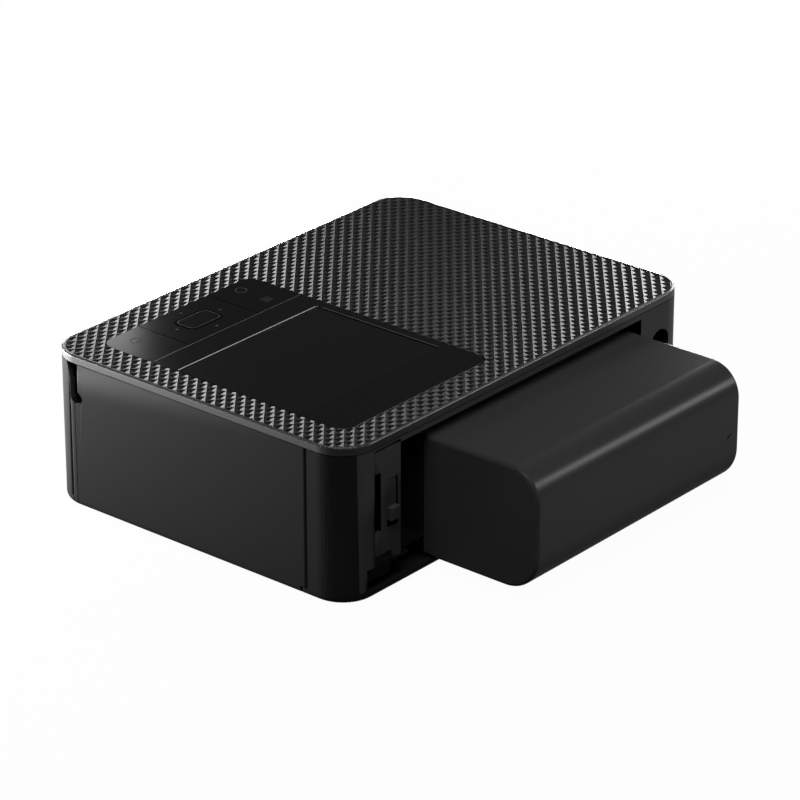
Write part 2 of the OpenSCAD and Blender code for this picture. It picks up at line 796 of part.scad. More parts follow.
module front_flap() {
    left = flap_left + gap;
    right = flap_right - gap;
    color(charcoal) {
        difference() {
            block([left, right], [-out_y, -in_y], [flap_axis_z, flap_top - gap]);
            // Finger scoop at the top edge
            translate([(left + right) / 2, -out_y - 7.4, flap_top]) rotate([0, 90, 0])
                cylinder(h = 22, r = 8.6, center = true);
        }
        rod_x([left, right], [flap_axis_y, flap_axis_z], door_pivot);
        rod_x([left - 2, right + 2], [flap_axis_y, flap_axis_z], door_pin_r);
        for (z = [13, 21]) block([left + 8, right - 8], [-in_y - eps, -in_y + 0.8], [z, z + 1]);
    }
}

// ---- Rear ----

// Slot behind a claw: narrow along the locked travel, wide where the hook leaves
module claw_slot(c) {
    block([c[0] - claw_w / 2 - 0.4, c[0] + claw_w / 2 + 0.4 + pack_travel], [0, far],
        [c[1] - claw_h / 2 - 0.4, c[1] + claw_h / 2 + 0.4]);
    block([c[0] + pack_travel - claw_w / 2 - 0.4, c[0] + pack_travel + claw_w / 2 + 0.4], [0, far],
        [c[1] - hook_h / 2 - 0.4, c[1] + hook_h / 2 + 0.4]);
}

module bay_housing() {
    low = bay_floor - bay_roof_t;
    front = seam_y - gap;
    color(charcoal) difference() {
        union() {
            difference() {
                block([bay_left - bay_wall, bay_right + bay_wall], [bay_front, in_y], [low, bay_top + bay_wall]);
                block([bay_left, bay_right], [bay_back, far], [bay_floor, bay_top]);
                block([bay_left - far, far], [front, far], [0, bay_floor + eps]);
            }
            // Closed wall left of the paper exit
            block([bay_left - bay_wall, exit_left], [front - 1.6, front], [base_z, low + eps]);
            // Cheeks of the paper exit
            block([exit_left - 1.2, exit_left], [bay_front, front], [base_z, low + eps]);
            block([exit_right, exit_right + 1.2], [bay_front, front], [base_z, low + eps]);
            block([bay_right, exit_right + 1.2], [bay_front, front], [low, bay_floor]);
            // Shelf and block at the right end of the exit
            block([shelf_left, shelf_right], [front - 3.2, shelf_y], [low, bay_floor]);
            block([exit_right, block_right - gap], [front - 1, shelf_y - 0.2], [block_z, low + eps]);
        }
        intersection() {
            for (c = claws) claw_slot(c);
            block([-far, far], [bay_front - 1, bay_back + 1], [0, far]);
        }
        // Window for the latch bar's tip
        block([bar_tip_x - 0.5, bar_tip_x + 4.5], [bay_front - 1, bay_back + 1],
            [bar_z - slide_travel - 0.4, bar_z + 4.4]);
    }
}

module rear_plate() {
    color(satin) difference() {
        union() {
            block([bay_right + eps, plate_right], [in_y, out_y - 0.05], [plate_low, bay_top]);
            block([bay_right + eps, notch_left], [in_y, out_y - 0.05], [bay_floor + gap, plate_low + eps]);
            // Foot that stands on the shelf behind the notch
            block([bay_right + bay_wall + gap, plate_right], [in_y - 2, in_y + 0.6], [bay_floor, plate_low + 3]);
        }
        block([slider_x - window_w / 2, slider_x + window_w / 2], [0, far], [window_low, window_high]);
        block([plate_right - 2.8, far], [out_y - 1.2, far], [window_low - 0.2, bay_top - 7.3]);
    }
}

module release_slider() {
    half = window_w / 2 - 0.2;
    top = window_high - 0.2;
    color(satin) {
        // Flat plate and the proud thumb knob
        translate([slider_x, out_y - 0.5, slider_z]) rotate([90, 0, 0]) linear_extrude(wall)
            translate([0, (top - slider_z) / 2]) plan(2 * half, top - slider_z, 0.8);
        block([slider_x - half + 0.2, slider_x + half - 0.2], [out_y - 0.6, out_y + 1.6],
            [slider_z + 0.3, slider_z + 4.6]);
        // Carrier behind the plate
        block([slider_x - half, slider_x + half + 1.4], [in_y - 2.2, in_y - 0.4], [slider_z + 1, top - 1]);
    }
}

module latch_bar() {
    color(nylon) {
        block([slider_x - 1.4, slider_x + 1.4], [bay_back - 4.8, in_y - 2.2], [bar_z, bar_z + 4]);
        block([bar_tip_x, slider_x + 1.4], [bay_back - 4.8, bay_back - 2.4], [bar_z, bar_z + 4]);
        block([bar_tip_x, bar_tip_x + 4], [bay_back - 2.4 - eps, bay_back + 0.8], [bar_z, bar_z + 4]);
    }
}

module bay_contacts() {
    left = (bay_left + bay_right) / 2 - 5.35;
    low = base_low + 11.4;
    color(steel) for (k = [0 : 3])
        block([left + 2 + 5 * k, left + 4.5 + 5 * k], [bay_back, bay_back + 0.8], [low + 2, low + 12]);
    color(satin) block([left, left + 21], [bay_front - 2.2, bay_front], [low, low + 14]);
}

module dc_jack() {
    color(satin) difference() {
        union() {
            block([dc_at[0] - 6.2, dc_at[0] + 6.2], [in_y - 13, in_y - 6], [dc_at[1] - 6.2, dc_at[1] + 6.2]);
            rod_y([in_y - 6 - eps, in_y - gap], dc_at, dc_r + 0.7);
        }
        rod_y([in_y - 6, far], dc_at, dc_r);
        rod_y([in_y - 12, far], dc_at, 2.9);
    }
    color(steel) rod_y([in_y - 12 - eps, in_y - 6.4], dc_at, 0.8);
}

// ---- Battery pack ----

// End profile of the pack in Y and Z, with two different edge radii
module pack_outline(inset) {
    top = pack_top - inset;
    low = pack_bottom + inset;
    back = pack_back - inset;
    upper = pack_top_r - inset;
    lower = pack_low_r - inset;
    mid = (top + low) / 2;
    translate([seam_y, mid]) square([back - seam_y - upper, top - mid]);
    translate([seam_y, mid]) square([back - seam_y, top - mid - upper]);
    translate([back - upper, top - upper]) circle(upper);
    translate([seam_y, low]) square([back - seam_y - lower, mid - low]);
    translate([seam_y, low + lower]) square([back - seam_y, mid - low - lower]);
    translate([back - lower, low + lower]) circle(lower);
}

// Rounded edge round one end of the pack: straight runs and two arcs
module pack_end(x) {
    e = pack_end_r;
    module arc(r, centre, start) {
        translate([x, centre[0], centre[1]]) rotate([90, 0, 90]) rotate([0, 0, start])
            rotate_extrude(angle = 90) translate([r - e, 0]) circle(e, $fn = 32);
    }
    rod_y([seam_y, pack_back - pack_top_r], [x, pack_top - e], e);
    rod_y([seam_y, pack_back - pack_low_r], [x, pack_bottom + e], e);
    rod_z([pack_bottom + pack_low_r, pack_top - pack_top_r], [x, pack_back - e], e);
    arc(pack_top_r, [pack_back - pack_top_r, pack_top - pack_top_r], 0);
    arc(pack_low_r, [pack_back - pack_low_r, pack_bottom + pack_low_r], -90);
}

module pack_solid() {
    e = pack_end_r;
    along_x([pack_left, pack_right]) pack_outline(e);
    along_x([pack_left + e, pack_right - e]) pack_outline(0);
    for (x = [pack_left + e, pack_right - e]) pack_end(x);
}

module battery_shell() {
    room = [pack_left + pack_wall, pack_right - pack_wall];
    color(satin) difference() {
        pack_solid();
        // Room for the cells, above the paper pocket
        intersection() {
            along_x(room) pack_outline(pack_wall);
            block([-far, far], [0, far], [pocket_top + 1.2, far]);
        }
        // Pocket that the paper's end passes into while a print is made
        intersection() {
            along_x(room) pack_outline(pack_wall);
            block([-far, far], [0, far], [0, pocket_top]);
        }
        block([pack_left - 1, pack_right + 1], [0, seam_y], [0, far]);
    }
}

module battery_base() {
    inset = 0.3;
    color(charcoal) {
        difference() {
            block([pack_left + inset, pack_right - inset], [base_front, seam_y], [base_low, pack_top - inset]);
            block([pack_left + 3, pack_right - 3], [base_front + 2.4, far], [base_low + 3, pack_top - 3]);
        }
        for (c = claws) {
            block([c[0] - claw_w / 2, c[0] + claw_w / 2], [bay_front - 0.4 - hook_t, base_front + eps],
                [c[1] - claw_h / 2, c[1] + claw_h / 2]);
            block([c[0] - claw_w / 2, c[0] + claw_w / 2], [bay_front - 0.4 - hook_t, bay_front - 0.4],
                [c[1] - hook_h / 2, c[1] + hook_h / 2]);
        }
    }
}

module battery_cells() {
    low = pocket_top + 1.2;
    color([0.2, 0.35, 0.55]) for (k = [0, 1])
        rod_x([pack_left + 3, cell_end],
            [seam_y + cell_side + cell_r + k * (2 * cell_r + cell_gap), low + 0.2 + cell_r], cell_r);
}

module battery_board() {
    low = pocket_top + 1.2;
    color(pcb) block([cell_end + 3, pack_right - 4], [seam_y + 4, pack_back - 12], [low, low + pcb_t]);
    color(steel) for (k = [0 : 2])
        block([cell_end + 7 + 8 * k, cell_end + 12 + 8 * k], [seam_y + 8, seam_y + 16],
            [low + pcb_t, low + pcb_t + 2]);
}

// ---- Boards and ports ----

module io_board() {
    color(pcb) block(socket_x, [-in_y + 0.8, io_rear], [io_z, io_z + pcb_t]);
}

module card_socket() {
    mid = (socket_x[0] + socket_x[1]) / 2;
    low = io_z + pcb_t;
    color(steel) difference() {
        block(socket_x, [-in_y + 0.4, io_rear - 1], [low, low + 3.4]);
        block([mid - slot_w / 2, mid + slot_w / 2], [-far, io_rear - 3], [low + 0.6, low + 2.9]);
    }
}

module usb_socket() {
    color(steel) along_y([-in_y + 0.3, -in_y + 7]) difference() {
        translate(usb_at) plan(9.4, 3.4, 1.6);
        translate(usb_at) plan(8.6, 2.6, 1.2);
    }
    color(satin) along_y([-in_y + 1.2, -in_y + 7]) translate(usb_at) plan(6.8, 0.8, 0.3);
    color(steel) along_y([-in_y + 6.2, -in_y + 7]) translate(usb_at) plan(9.4, 3.4, 1.6);
}

module main_board() {
    color(pcb) slab(board_x, board_y, [main_z, main_z + pcb_t], 2);
    // Chips and a connector, as [x, y, width, length] from the board's centre
    chips = [[-14, -17, 16, 16], [10, -15, 10, 12], [-30, 13, 10, 10], [-8, 33, 30, 5]];
    color(satin) for (c = chips) translate([board_mid[0] + c[0], board_mid[1] + c[1], main_z + pcb_t])
        cube([c[2], c[3], chip_h]);
}

// ---- Chassis ----

module left_plate() {
    x = [mech_left - plate_t, mech_left];
    color(steel) {
        difference() {
            block(x, [mech_front, mech_rear], [base_z, mech_top]);
            rod_x([x[0] - 1, x[1] + 1], [platen_y, paper_z - platen_r], shaft_r + run_fit);
            rod_x([x[0] - 1, x[1] + 1], grip_at, shaft_r + run_fit);
            rod_x([x[0] - 1, x[1] + 1], [grip_y, pinch_z], axle_r + run_fit);
            rod_x([x[0] - 1, x[1] + 1], pickup_at, shaft_r + run_fit);
            rod_x([x[0] - 1, x[1] + 1], takeup_at, shaft_r + run_fit);
            // Slot that the head carriage rides in
            block([x[0] - 1, x[1] + 1], [platen_y - head_w / 2 - 0.4, platen_y + head_w / 2 + 0.4],
                [carriage_z - plate_t - head_drop - 0.4, mech_top + 1]);
            block([x[0] - 1, x[1] + 1], [mech_front - 1, grip_y - 11], [0, 18]);
        }
        for (at = [idler_at, transfer_at]) rod_x([gear_x - 0.6, x[0] + eps], at, axle_r);
        // Foot flange
        block([x[0] - 9, x[0] + eps], [platen_y - 21.5, mech_rear], [base_z, base_z + plate_t]);
    }
}

module right_plate() {
    x = [mech_right, mech_right + plate_t];
    color(steel) {
        difference() {
            block(x, [grip_y - 8, mech_rear], [base_z, mech_top]);
            rod_x([x[0] - 1, x[1] + 1], [platen_y, paper_z - platen_r], shaft_r + run_fit);
            rod_x([x[0] - 1, x[1] + 1], grip_at, shaft_r + run_fit);
            rod_x([x[0] - 1, x[1] + 1], [grip_y, pinch_z], axle_r + run_fit);
            // Way in for the ink cassette, lower where the ribbon hangs
            block([x[0] - 1, x[1] + 1], [supply_y - chamber_r - 0.5, takeup_y + chamber_r + 0.5],
                [spool_z - chamber_r - 0.6, spool_z + chamber_r + 0.6]);
            block([x[0] - 1, x[1] + 1], [supply_y, takeup_y], [paper_z - 0.2, spool_z]);
        }
        block([x[1] - eps, x[1] + 9], [platen_y - 21.5, mech_rear], [base_z, base_z + plate_t]);
    }
}

module top_beam() {
    z = [mech_top, mech_top + plate_t];
    color(steel) {
        difference() {
            union() {
                block([lift_x - 9, mech_right + plate_t], beam_y, z);
                block([mech_left - plate_t, mech_right + plate_t], [grip_y - 8, grip_y - 1], z);
                block([mech_left - plate_t, mech_right + plate_t], [mech_rear - 5.2, mech_rear], z);
                for (x = [mech_left - plate_t, mech_right + plate_t - 8])
                    block([x, x + 8], [grip_y - 8, mech_rear], z);
            }
            rod_z([0, far], [screw_x, platen_y], screw_r + run_fit);
            rod_z([0, far], [lift_x, platen_y], 1.2);
        }
        rod_z([bridge_top + 0.6, z[0] + eps], [guide_x, platen_y], guide_r);
    }
}

module motor_bracket() {
    x = [gear_x - 2, gear_x - 1.2];
    color(zinc) {
        difference() {
            block(x, [pinion_at[0] - 11.5, pinion_at[0] + 11.5], [15, mech_top]);
            rod_x([x[0] - 1, x[1] + 1], pinion_at, 3);
        }
        for (from = [[-5.5, -13.8], [6, 8.8]])
            rod_x([x[1] - eps, mech_left - plate_t], pinion_at + from, axle_r);
    }
}

// ---- Paper path ----

module paper_chute() {
    x = [mech_left + 0.5, mech_right - 0.5];
    y = [-in_y + 1.1, grip_y - 9];
    low = base_z + 2.4;
    high = chute_top;
    color(satin) difference() {
        union() {
            block(x, y, [base_z, high + 1.2]);
            // Ear that carries the pick-up shaft's right end
            block([pickup_end - 2, pickup_end], [pickup_at[0] - 4, pickup_at[0] + 4], [high, pickup_at[1] + 4]);
        }
        block([x[0] + 1.7, x[1] - 1.5], [-far, far], [low, high]);
        // Window for the pick-up rollers
        block([pickup_x[0] - 2, pickup_x[1] + pickup_w + 3], [pickup_at[0] - 8, pickup_at[0] + 8], [low, high + 2]);
        rod_x([pickup_end - 4, pickup_end + 2], pickup_at, shaft_r + run_fit);
    }
}

module pickup_roller() {
    color(steel) rod_x([gear_x - 0.6, pickup_end], pickup_at, shaft_r);
    color(rubber) for (x = pickup_x) rod_x([x, x + pickup_w], pickup_at, pickup_r);
    color(nylon) train_gear(pickup_at, n_pickup, pickup_turn, 0);
}

module grip_roller() {
    color(steel) {
        rod_x([gear_x - 0.6, mech_right + plate_t + 0.4], grip_at, shaft_r);
        rod_x([roll_left, roll_right], grip_at, grip_r);
    }
    color(nylon) train_gear(grip_at, n_grip, grip_turn, 0);
}

module pinch_roller() {
    at = [grip_y, pinch_z];
    color(rubber) rod_x([roll_left, roll_right], at, pinch_r);
    color(steel) rod_x([mech_left - plate_t - 0.4, mech_right + plate_t + 0.4], at, axle_r);
}

module platen_roller() {
    at = [platen_y, paper_z - platen_r];
    color(rubber) rod_x([roll_left, roll_right], at, platen_r);
    color(steel) rod_x([mech_left - plate_t - 0.4, mech_right + plate_t + 0.4], at, shaft_r);
}

module paper_guide() {
    x = [mech_left + 0.4, mech_right - 0.4];
    y0 = grip_y + grip_r + 0.7;
    y1 = platen_y - platen_r - 0.6;
    y2 = platen_y + platen_r + 0.8;
    y3 = bay_front - 0.4;
    end_z = bay_floor - 4.3;
    slope = atan((paper_z - 0.6 - end_z) / (y3 - y2));
    color(satin) {
        along_x([x[0] + 2, x[1] - 2]) {
            polygon([[y0, paper_z - 2.4], [y0 + 1.4, paper_z - 0.4], [y1, paper_z - 0.4], [y1, paper_z - 1.6]]);
            polygon([[y2, paper_z - 1.8], [y2, paper_z - 0.6], [y3, end_z], [y3, end_z - 1.2]]);
        }
        // Cheeks that carry both guides
        for (side = [[x[0], x[0] + 2 + eps], [x[1] - 2 - eps, x[1]]]) difference() {
            block(side, [y0, y3], [base_z, paper_z - 0.4]);
            rod_x([side[0] - 1, side[1] + 1], [platen_y, paper_z - platen_r], shaft_r + 0.6);
            block([side[0] - 1, side[1] + 1], [platen_y - shaft_r - 0.6, platen_y + shaft_r + 0.6],
                [paper_z - platen_r, far]);
            translate([side[0] - 1, y2, paper_z - 0.3]) rotate([-slope, 0, 0]) cube([4.1, 60, 10]);
        }
    }
}

// ---- Print head ----

module head_bar() {
    color(nylon) {
        block(head_x, [platen_y - head_w / 2, platen_y + head_w / 2], [head_z + 2, sink_z]);
        block(head_x, [platen_y - 2.6, platen_y + 2.6], [head_z + 0.8, head_z + 2 + eps]);
    }
    color(gloss) rod_x(head_x, [platen_y, head_z + 1], 1);
}

module heat_sink() {
    top = carriage_z - plate_t;
    color(zinc) {
        block(head_x, [platen_y - head_w / 2, platen_y + head_w / 2], [sink_z, sink_z + 1.6]);
        for (k = [0 : 4]) let (y = platen_y - head_w / 2 + k * (head_w - 1) / 4)
            block(head_x, [y, y + 1], [sink_z + 1.6 - eps, top]);
    }
}

module head_carriage() {
    y = [platen_y - head_w / 2, platen_y + head_w / 2];
    color(steel) difference() {
        union() {
            block([screw_x - 3.1, guide_x + 2], y, [carriage_z - plate_t, carriage_z]);
            block([screw_x - 3.1, screw_x + 3.1], y, [carriage_z - sleeve_h, carriage_z]);
            block([guide_x - 2.4, guide_x + 2], y, [carriage_z - sleeve_h, carriage_z]);
        }
        rod_z([0, far], [screw_x, platen_y], screw_r + run_fit);
        rod_z([0, far], [guide_x, platen_y], guide_r + run_fit);
    }
}

// Upright screw that raises and lowers the head carriage
module lead_screw() {
    at = [screw_x, platen_y];
    color(steel) rod_z([carriage_z - sleeve_h - head_drop - 1, lift_gear_z + lift_gear_h], at, screw_r);
    color(nylon) translate([at[0], at[1], lift_gear_z]) difference() {
        linear_extrude(lift_gear_h) gear_outline(n_screw);
        translate([0, 0, -1]) cylinder(h = 4, r = screw_r - eps);
    }
    color(steel) rod_z([mech_top + plate_t, lift_gear_z], at, 3);
}

module lift_motor() {
    at = [lift_x, platen_y];
    color(zinc) difference() {
        union() {
            rod_z([mech_top - 21, mech_top], at, lift_motor_r);
            rod_z([mech_top - 22.4, mech_top - 21], at, 3);
        }
        rod_z([mech_top - 4, mech_top + 1], at, 1 + run_fit);
    }
}

module lift_pinion() {
    at = [lift_x, platen_y];
    color(nylon) translate([at[0], at[1], lift_gear_z]) rotate(lift_turn)
        linear_extrude(lift_gear_h) gear_outline(n_lift);
    color(steel) rod_z([mech_top - 3.6, lift_gear_z + eps], at, 1);
}

// ---- Feed drive ----

module feed_motor() {
    color(zinc) difference() {
        union() {
            rod_x(feed_motor_x, pinion_at, motor_r);
            rod_x([feed_motor_x[1] - eps, feed_motor_x[1] + 0.7], pinion_at, 2.8);
            rod_x([feed_motor_x[0] - 1.4, feed_motor_x[0] + eps], pinion_at, 3);
        }
        rod_x([feed_motor_x[1] - 4, feed_motor_x[1] + 4], pinion_at, 1 + run_fit);
    }
}

module feed_pinion() {
    color(nylon) train_gear(pinion_at, n_pinion, 0, 0);
    color(steel) rod_x([feed_motor_x[1] - 3.6, gear_x + eps], pinion_at, 1);
}

module idler_gear() {
    color(nylon) train_gear(idler_at, n_idler, idler_turn, axle_r + run_fit);
}

module transfer_gear() {
    color(nylon) train_gear(transfer_at, n_transfer, transfer_turn, axle_r + run_fit);
}

module takeup_drive() {
    color(nylon) {
        train_gear(takeup_at, n_takeup, takeup_turn, 0);
        rod_x([gear_x + gear_w - eps, cassette_left - 0.9], takeup_at, shaft_r);
        rod_x([mech_left + 0.4, cassette_left - 0.9], takeup_at, 3.4);
        // Driving dog: a bar that enters the spool's slotted end
        for (turn = [0, 90]) translate([cassette_left - 1, takeup_at[0], takeup_at[1]]) rotate([turn, 0, 0])
            translate([0, -2.1, -0.5]) cube([3, 4.2, 1]);
    }
}

// ---- Ink cassette ----

module cassette_guide() {
    x = [mech_left, mech_right];
    front = supply_y - chamber_r - gap;
    rear = takeup_y + chamber_r + gap;
    low = spool_z - chamber_r - gap;
    color(satin) {
        block(x, [front - 1.4, front], [low - 1, low + 14]);
        block(x, [rear, rear + 1.4], [low - 1, low + 14]);
        block(x, [front - eps, front + 4.8], [low - 1, low]);
        block(x, [rear - 4.8, rear + eps], [low - 1, low]);
    }
}

module chamber(y) {
    rod_x([cassette_left, cassette_right - end_t], [y, spool_z], chamber_r);
}

module cassette_case() {
    x = [cassette_left, cassette_right];
    low = spool_z - chamber_r;
    color([0.2, 0.2, 0.22]) difference() {
        union() {
            for (y = [supply_y, takeup_y]) chamber(y);
            // Bridge at the left end and the grip plate at the right end
            block([x[0], x[0] + case_left_t], [supply_y, takeup_y], [low, bridge_top]);
            along_x([x[1] - end_t - 2, x[1]]) translate([(supply_y + takeup_y) / 2, spool_z])
                plan(takeup_y - supply_y + 2 * chamber_r, 2 * chamber_r, 8);
        }
        for (y = [supply_y, takeup_y]) {
            rod_x([x[0] + case_left_t, x[1] - end_t], [y, spool_z], chamber_r - case_t);
            rod_x([x[0] - 1, x[0] + case_left_t + 1], [y, spool_z], 3 + run_fit);
        }
        // Ways out for the ribbon under each chamber
        block([x[0] + case_left_t, x[1] - end_t - 2], [supply_y + 1, supply_y + 20], [0, spool_z - 7.4]);
        block([x[0] + case_left_t, x[1] - end_t - 2], [takeup_y - 20, takeup_y - 1], [0, spool_z - 5.2]);
        // Finger hollow in the grip plate
        along_x([x[1] - 1.6, x[1] + 1]) translate([(supply_y + takeup_y) / 2, spool_z]) plan(22, 10, 4.9);
    }
}

// Spool with a flange at each end and a journal in the cassette's left wall
module spool(y, slotted) {
    x = [cassette_left + case_left_t + 0.4, cassette_right - end_t - 0.5];
    at = [y, spool_z];
    difference() {
        union() {
            rod_x(x, at, 4);
            rod_x([cassette_left + 0.2, x[0] + eps], at, 3);
            for (k = [0, 1]) rod_x([x[k] - k * 0.8, x[k] + 0.8 - k * 0.8], at, chamber_r - case_t - 0.5);
        }
        if (slotted) for (turn = [0, 90]) translate([0, y, spool_z]) rotate([turn, 0, 0])
            block([cassette_left - 1, cassette_left + 2.8], [-2.4, 2.4], [-0.8, 0.8]);
    }
}

module supply_spool() {
    color(nylon) spool(supply_y, false);
}

module takeup_spool() {
    color(nylon) spool(takeup_y, true);
}

// Ribbon wound on a spool's core
module ribbon_roll(y, r) {
    x = [cassette_left + case_left_t + 2, mech_right - 1.3];
    difference() {
        rod_x(x, [y, spool_z], r);
        rod_x([x[0] - 1, x[1] + 1], [y, spool_z], 4);
    }
}

module supply_roll() {
    color([0.35, 0.12, 0.3]) ribbon_roll(supply_y, supply_r);
}

module takeup_roll() {
    color([0.3, 0.3, 0.32]) ribbon_roll(takeup_y, takeup_r);
}

module ribbon_web() {
    x = [cassette_left + case_left_t + 2, mech_right - 1.3];
    t = 0.12;
    low = paper_z + 0.3;
    path = [[supply_y + 1, spool_z - supply_r - 0.25], [platen_y - 5.4, low], [platen_y + 5.4, low],
        [takeup_y - 1, spool_z - takeup_r - 0.25]];
    color([0.55, 0.5, 0.2]) along_x(x) polygon(concat(path, [for (p = reversed(path)) p - [0, t]]));
}

// ---- Fan ----

module fan_frame() {
    at = fan_at;
    x = [fan_x, fan_x + fan_t];
    half = fan_size / 2;
    color(satin) {
        difference() {
            along_x(x) translate(at) plan(fan_size, fan_size, 2);
            rod_x([x[0] - 1, x[1] + 1], at, half - 1.4);
        }
        rod_x([x[1] - 1, x[1]], at, 6);
        rod_x([x[0] + 1, x[1] - 1 + eps], at, 1);
        for (turn = [30 : 90 : 300]) translate([x[1] - 1, at[0], at[1]]) rotate([turn, 0, 0])
            translate([0, 4, -0.8]) cube([1, half - 4.4, 1.6]);
    }
}

module fan_rotor() {
    at = fan_at;
    x = [fan_x + 0.6, fan_x + fan_t - 1.4];
    tip = fan_size / 2 - 2;
    color([0.15, 0.15, 0.16]) difference() {
        union() {
            rod_x(x, at, 6);
            intersection() {
                for (k = [0 : 6]) translate([(x[0] + x[1]) / 2, at[0], at[1]]) rotate([360 / 7 * k, 0, 0])
                    rotate([0, 38, 0]) translate([-3.2, 4, -0.4]) cube([6.4, 12, 0.8]);
                rod_x(x, at, tip);
            }
        }
        rod_x([x[0] + 0.4, x[1] + 1], at, 1 + run_fit);
    }
}

module placed() {
    translate([0, -centre_y, 0]) children();
}

placed() body_shell();
placed() base_frame();
placed() bottom_plate();
placed() feet();
placed() top_cover();
placed() control_panel();
placed() lcd_window();
placed() lcd_module();
placed() key_board();
placed() power_key();
placed() nav_pad();
placed() ok_key();
placed() print_key();
placed() menu_key();
placed() ink_door();
placed() front_flap();
placed() bay_housing();
placed() rear_plate();
placed() release_slider();
placed() latch_bar();
placed() bay_contacts();
placed() battery_base();
placed() battery_shell();
placed() battery_cells();
placed() battery_board();
placed() dc_jack();
placed() io_board();
placed() card_socket();
placed() usb_socket();
placed() left_plate();
placed() right_plate();
placed() top_beam();
placed() motor_bracket();
placed() paper_chute();
placed() paper_guide();
placed() cassette_guide();
placed() pickup_roller();
placed() grip_roller();
placed() pinch_roller();
placed() platen_roller();
placed() head_bar();
placed() heat_sink();
placed() head_carriage();
placed() lead_screw();
placed() lift_motor();
placed() lift_pinion();
placed() feed_motor();
placed() feed_pinion();
placed() idler_gear();
placed() transfer_gear();
placed() takeup_drive();
placed() cassette_case();
placed() supply_spool();
placed() supply_roll();
placed() takeup_spool();
placed() takeup_roll();
placed() ribbon_web();
placed() fan_frame();
placed() fan_rotor();
placed() main_board();
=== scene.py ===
"""Looks of a compact photo printer with a slide-on battery pack.

Lengths are in millimetres from the middle of the printer's own case, with z up
from the table, until ``place`` turns them into the shared frame's metres.
"""

from __future__ import annotations

import logging
import math
from collections.abc import Callable, Iterable, Sequence
from dataclasses import dataclass
from enum import Enum

import bmesh
import bpy
from mathutils import Matrix, Vector

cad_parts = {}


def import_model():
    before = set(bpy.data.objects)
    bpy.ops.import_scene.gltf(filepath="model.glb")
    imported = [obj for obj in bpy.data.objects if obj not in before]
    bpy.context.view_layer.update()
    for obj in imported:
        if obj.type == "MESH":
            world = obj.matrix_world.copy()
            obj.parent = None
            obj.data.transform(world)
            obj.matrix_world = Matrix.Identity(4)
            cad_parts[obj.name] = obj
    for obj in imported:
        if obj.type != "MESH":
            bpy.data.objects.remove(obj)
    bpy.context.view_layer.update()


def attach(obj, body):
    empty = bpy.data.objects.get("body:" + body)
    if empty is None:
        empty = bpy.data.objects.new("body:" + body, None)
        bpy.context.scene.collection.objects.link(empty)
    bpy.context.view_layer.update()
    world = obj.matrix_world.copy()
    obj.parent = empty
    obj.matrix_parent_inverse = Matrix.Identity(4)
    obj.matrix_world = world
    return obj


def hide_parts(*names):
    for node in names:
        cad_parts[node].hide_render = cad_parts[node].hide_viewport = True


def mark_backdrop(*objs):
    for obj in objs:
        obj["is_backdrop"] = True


LOG = logging.getLogger("printer")
MM = 0.001
BROAD_MM = 28.0  # size of the wide, faint patches in every finish
CASE_SHIFT_Y = -22.0  # the case's middle stands this far from the frame's origin
Point = tuple[float, float]
Colour = tuple[float, float, float]
Painter = Callable[[Vector, Vector], int]
Picker = Callable[[Vector, Vector], bool]


# ---------------------------------------------------------------- shared tools


def place(x: float, y: float, z: float) -> Vector:
    """Turn a point on the case into the frame.

    Args:
        x: Millimetres to the printer's right.
        y: Millimetres to the printer's rear.
        z: Millimetres above the table.

    Returns:
        The point in metres in the shared frame.
    """
    return Vector((x, y + CASE_SHIFT_Y, z)) * MM


def unplace(point: Vector) -> Vector:
    """Turn a point of the frame back into the case's millimetres.

    Args:
        point: The point in metres in the shared frame.

    Returns:
        The point in millimetres on the case.
    """
    return Vector(point) / MM - Vector((0.0, CASE_SHIFT_Y, 0.0))


def tone(code: str) -> Colour:
    """Turn a hexadecimal screen colour into linear light.

    Args:
        code: Six hexadecimal digits.

    Returns:
        Red, green and blue in linear light.
    """

    def channel(text: str) -> float:
        """Return one channel in linear light."""
        value = int(text, 16) / 255
        return value / 12.92 if value <= 0.04045 else ((value + 0.055) / 1.055) ** 2.4

    return channel(code[0:2]), channel(code[2:4]), channel(code[4:6])


class Graph:
    """A node tree with short ways to add and join its nodes."""

    def __init__(self, tree: bpy.types.NodeTree) -> None:
        """Keep the tree that the nodes go into."""
        self.tree = tree

    def add(self, kind: str, settings: dict[str, object] | None = None, **inputs: object) -> bpy.types.Node:
        """Add a node, set its fields and fill or join its inputs.

        Args:
            kind: The node's type name.
            settings: Fields of the node itself.
            inputs: Values or output sockets by input name, with _ for a space.

        Returns:
            The new node.
        """
        node = self.tree.nodes.new(kind)
        for key, value in (settings or {}).items():
            setattr(node, key, value)
        for key, value in inputs.items():
            self.feed(node.inputs[key.replace("_", " ")], value)
        return node

    def feed(self, socket: bpy.types.NodeSocket, value: object) -> None:
        """Join an output to a socket, or set the socket's own value.

        Args:
            socket: The input that is filled.
            value: An output socket or a plain value.
        """
        if isinstance(value, bpy.types.NodeSocket):
            self.tree.links.new(value, socket)
        else:
            socket.default_value = value

    def sum(
        self, operation: str, first: object, second: object = 0.0, third: object = 0.0
    ) -> bpy.types.NodeSocket:
        """Add a math node.

        Args:
            operation: The operation's name in Blender.
            first: First value or output socket.
            second: Second value or output socket.
            third: Third value or output socket.

        Returns:
            The node's output.
        """
        node = self.tree.nodes.new("ShaderNodeMath")
        node.operation = operation
        for socket, value in zip(node.inputs, (first, second, third)):
            self.feed(socket, value)
        return node.outputs[0]


# -------------------------------------------------------------------- finishes


class Grain(Enum):
    """The fine structure that a finish shows close up."""

    SPARK = "spark-eroded mould texture"
    BRUSHED = "lines left by rolling or brushing"
    WOUND = "rings of a wound film or a turned part"
    SMOOTH = "polished, with faint handling marks"


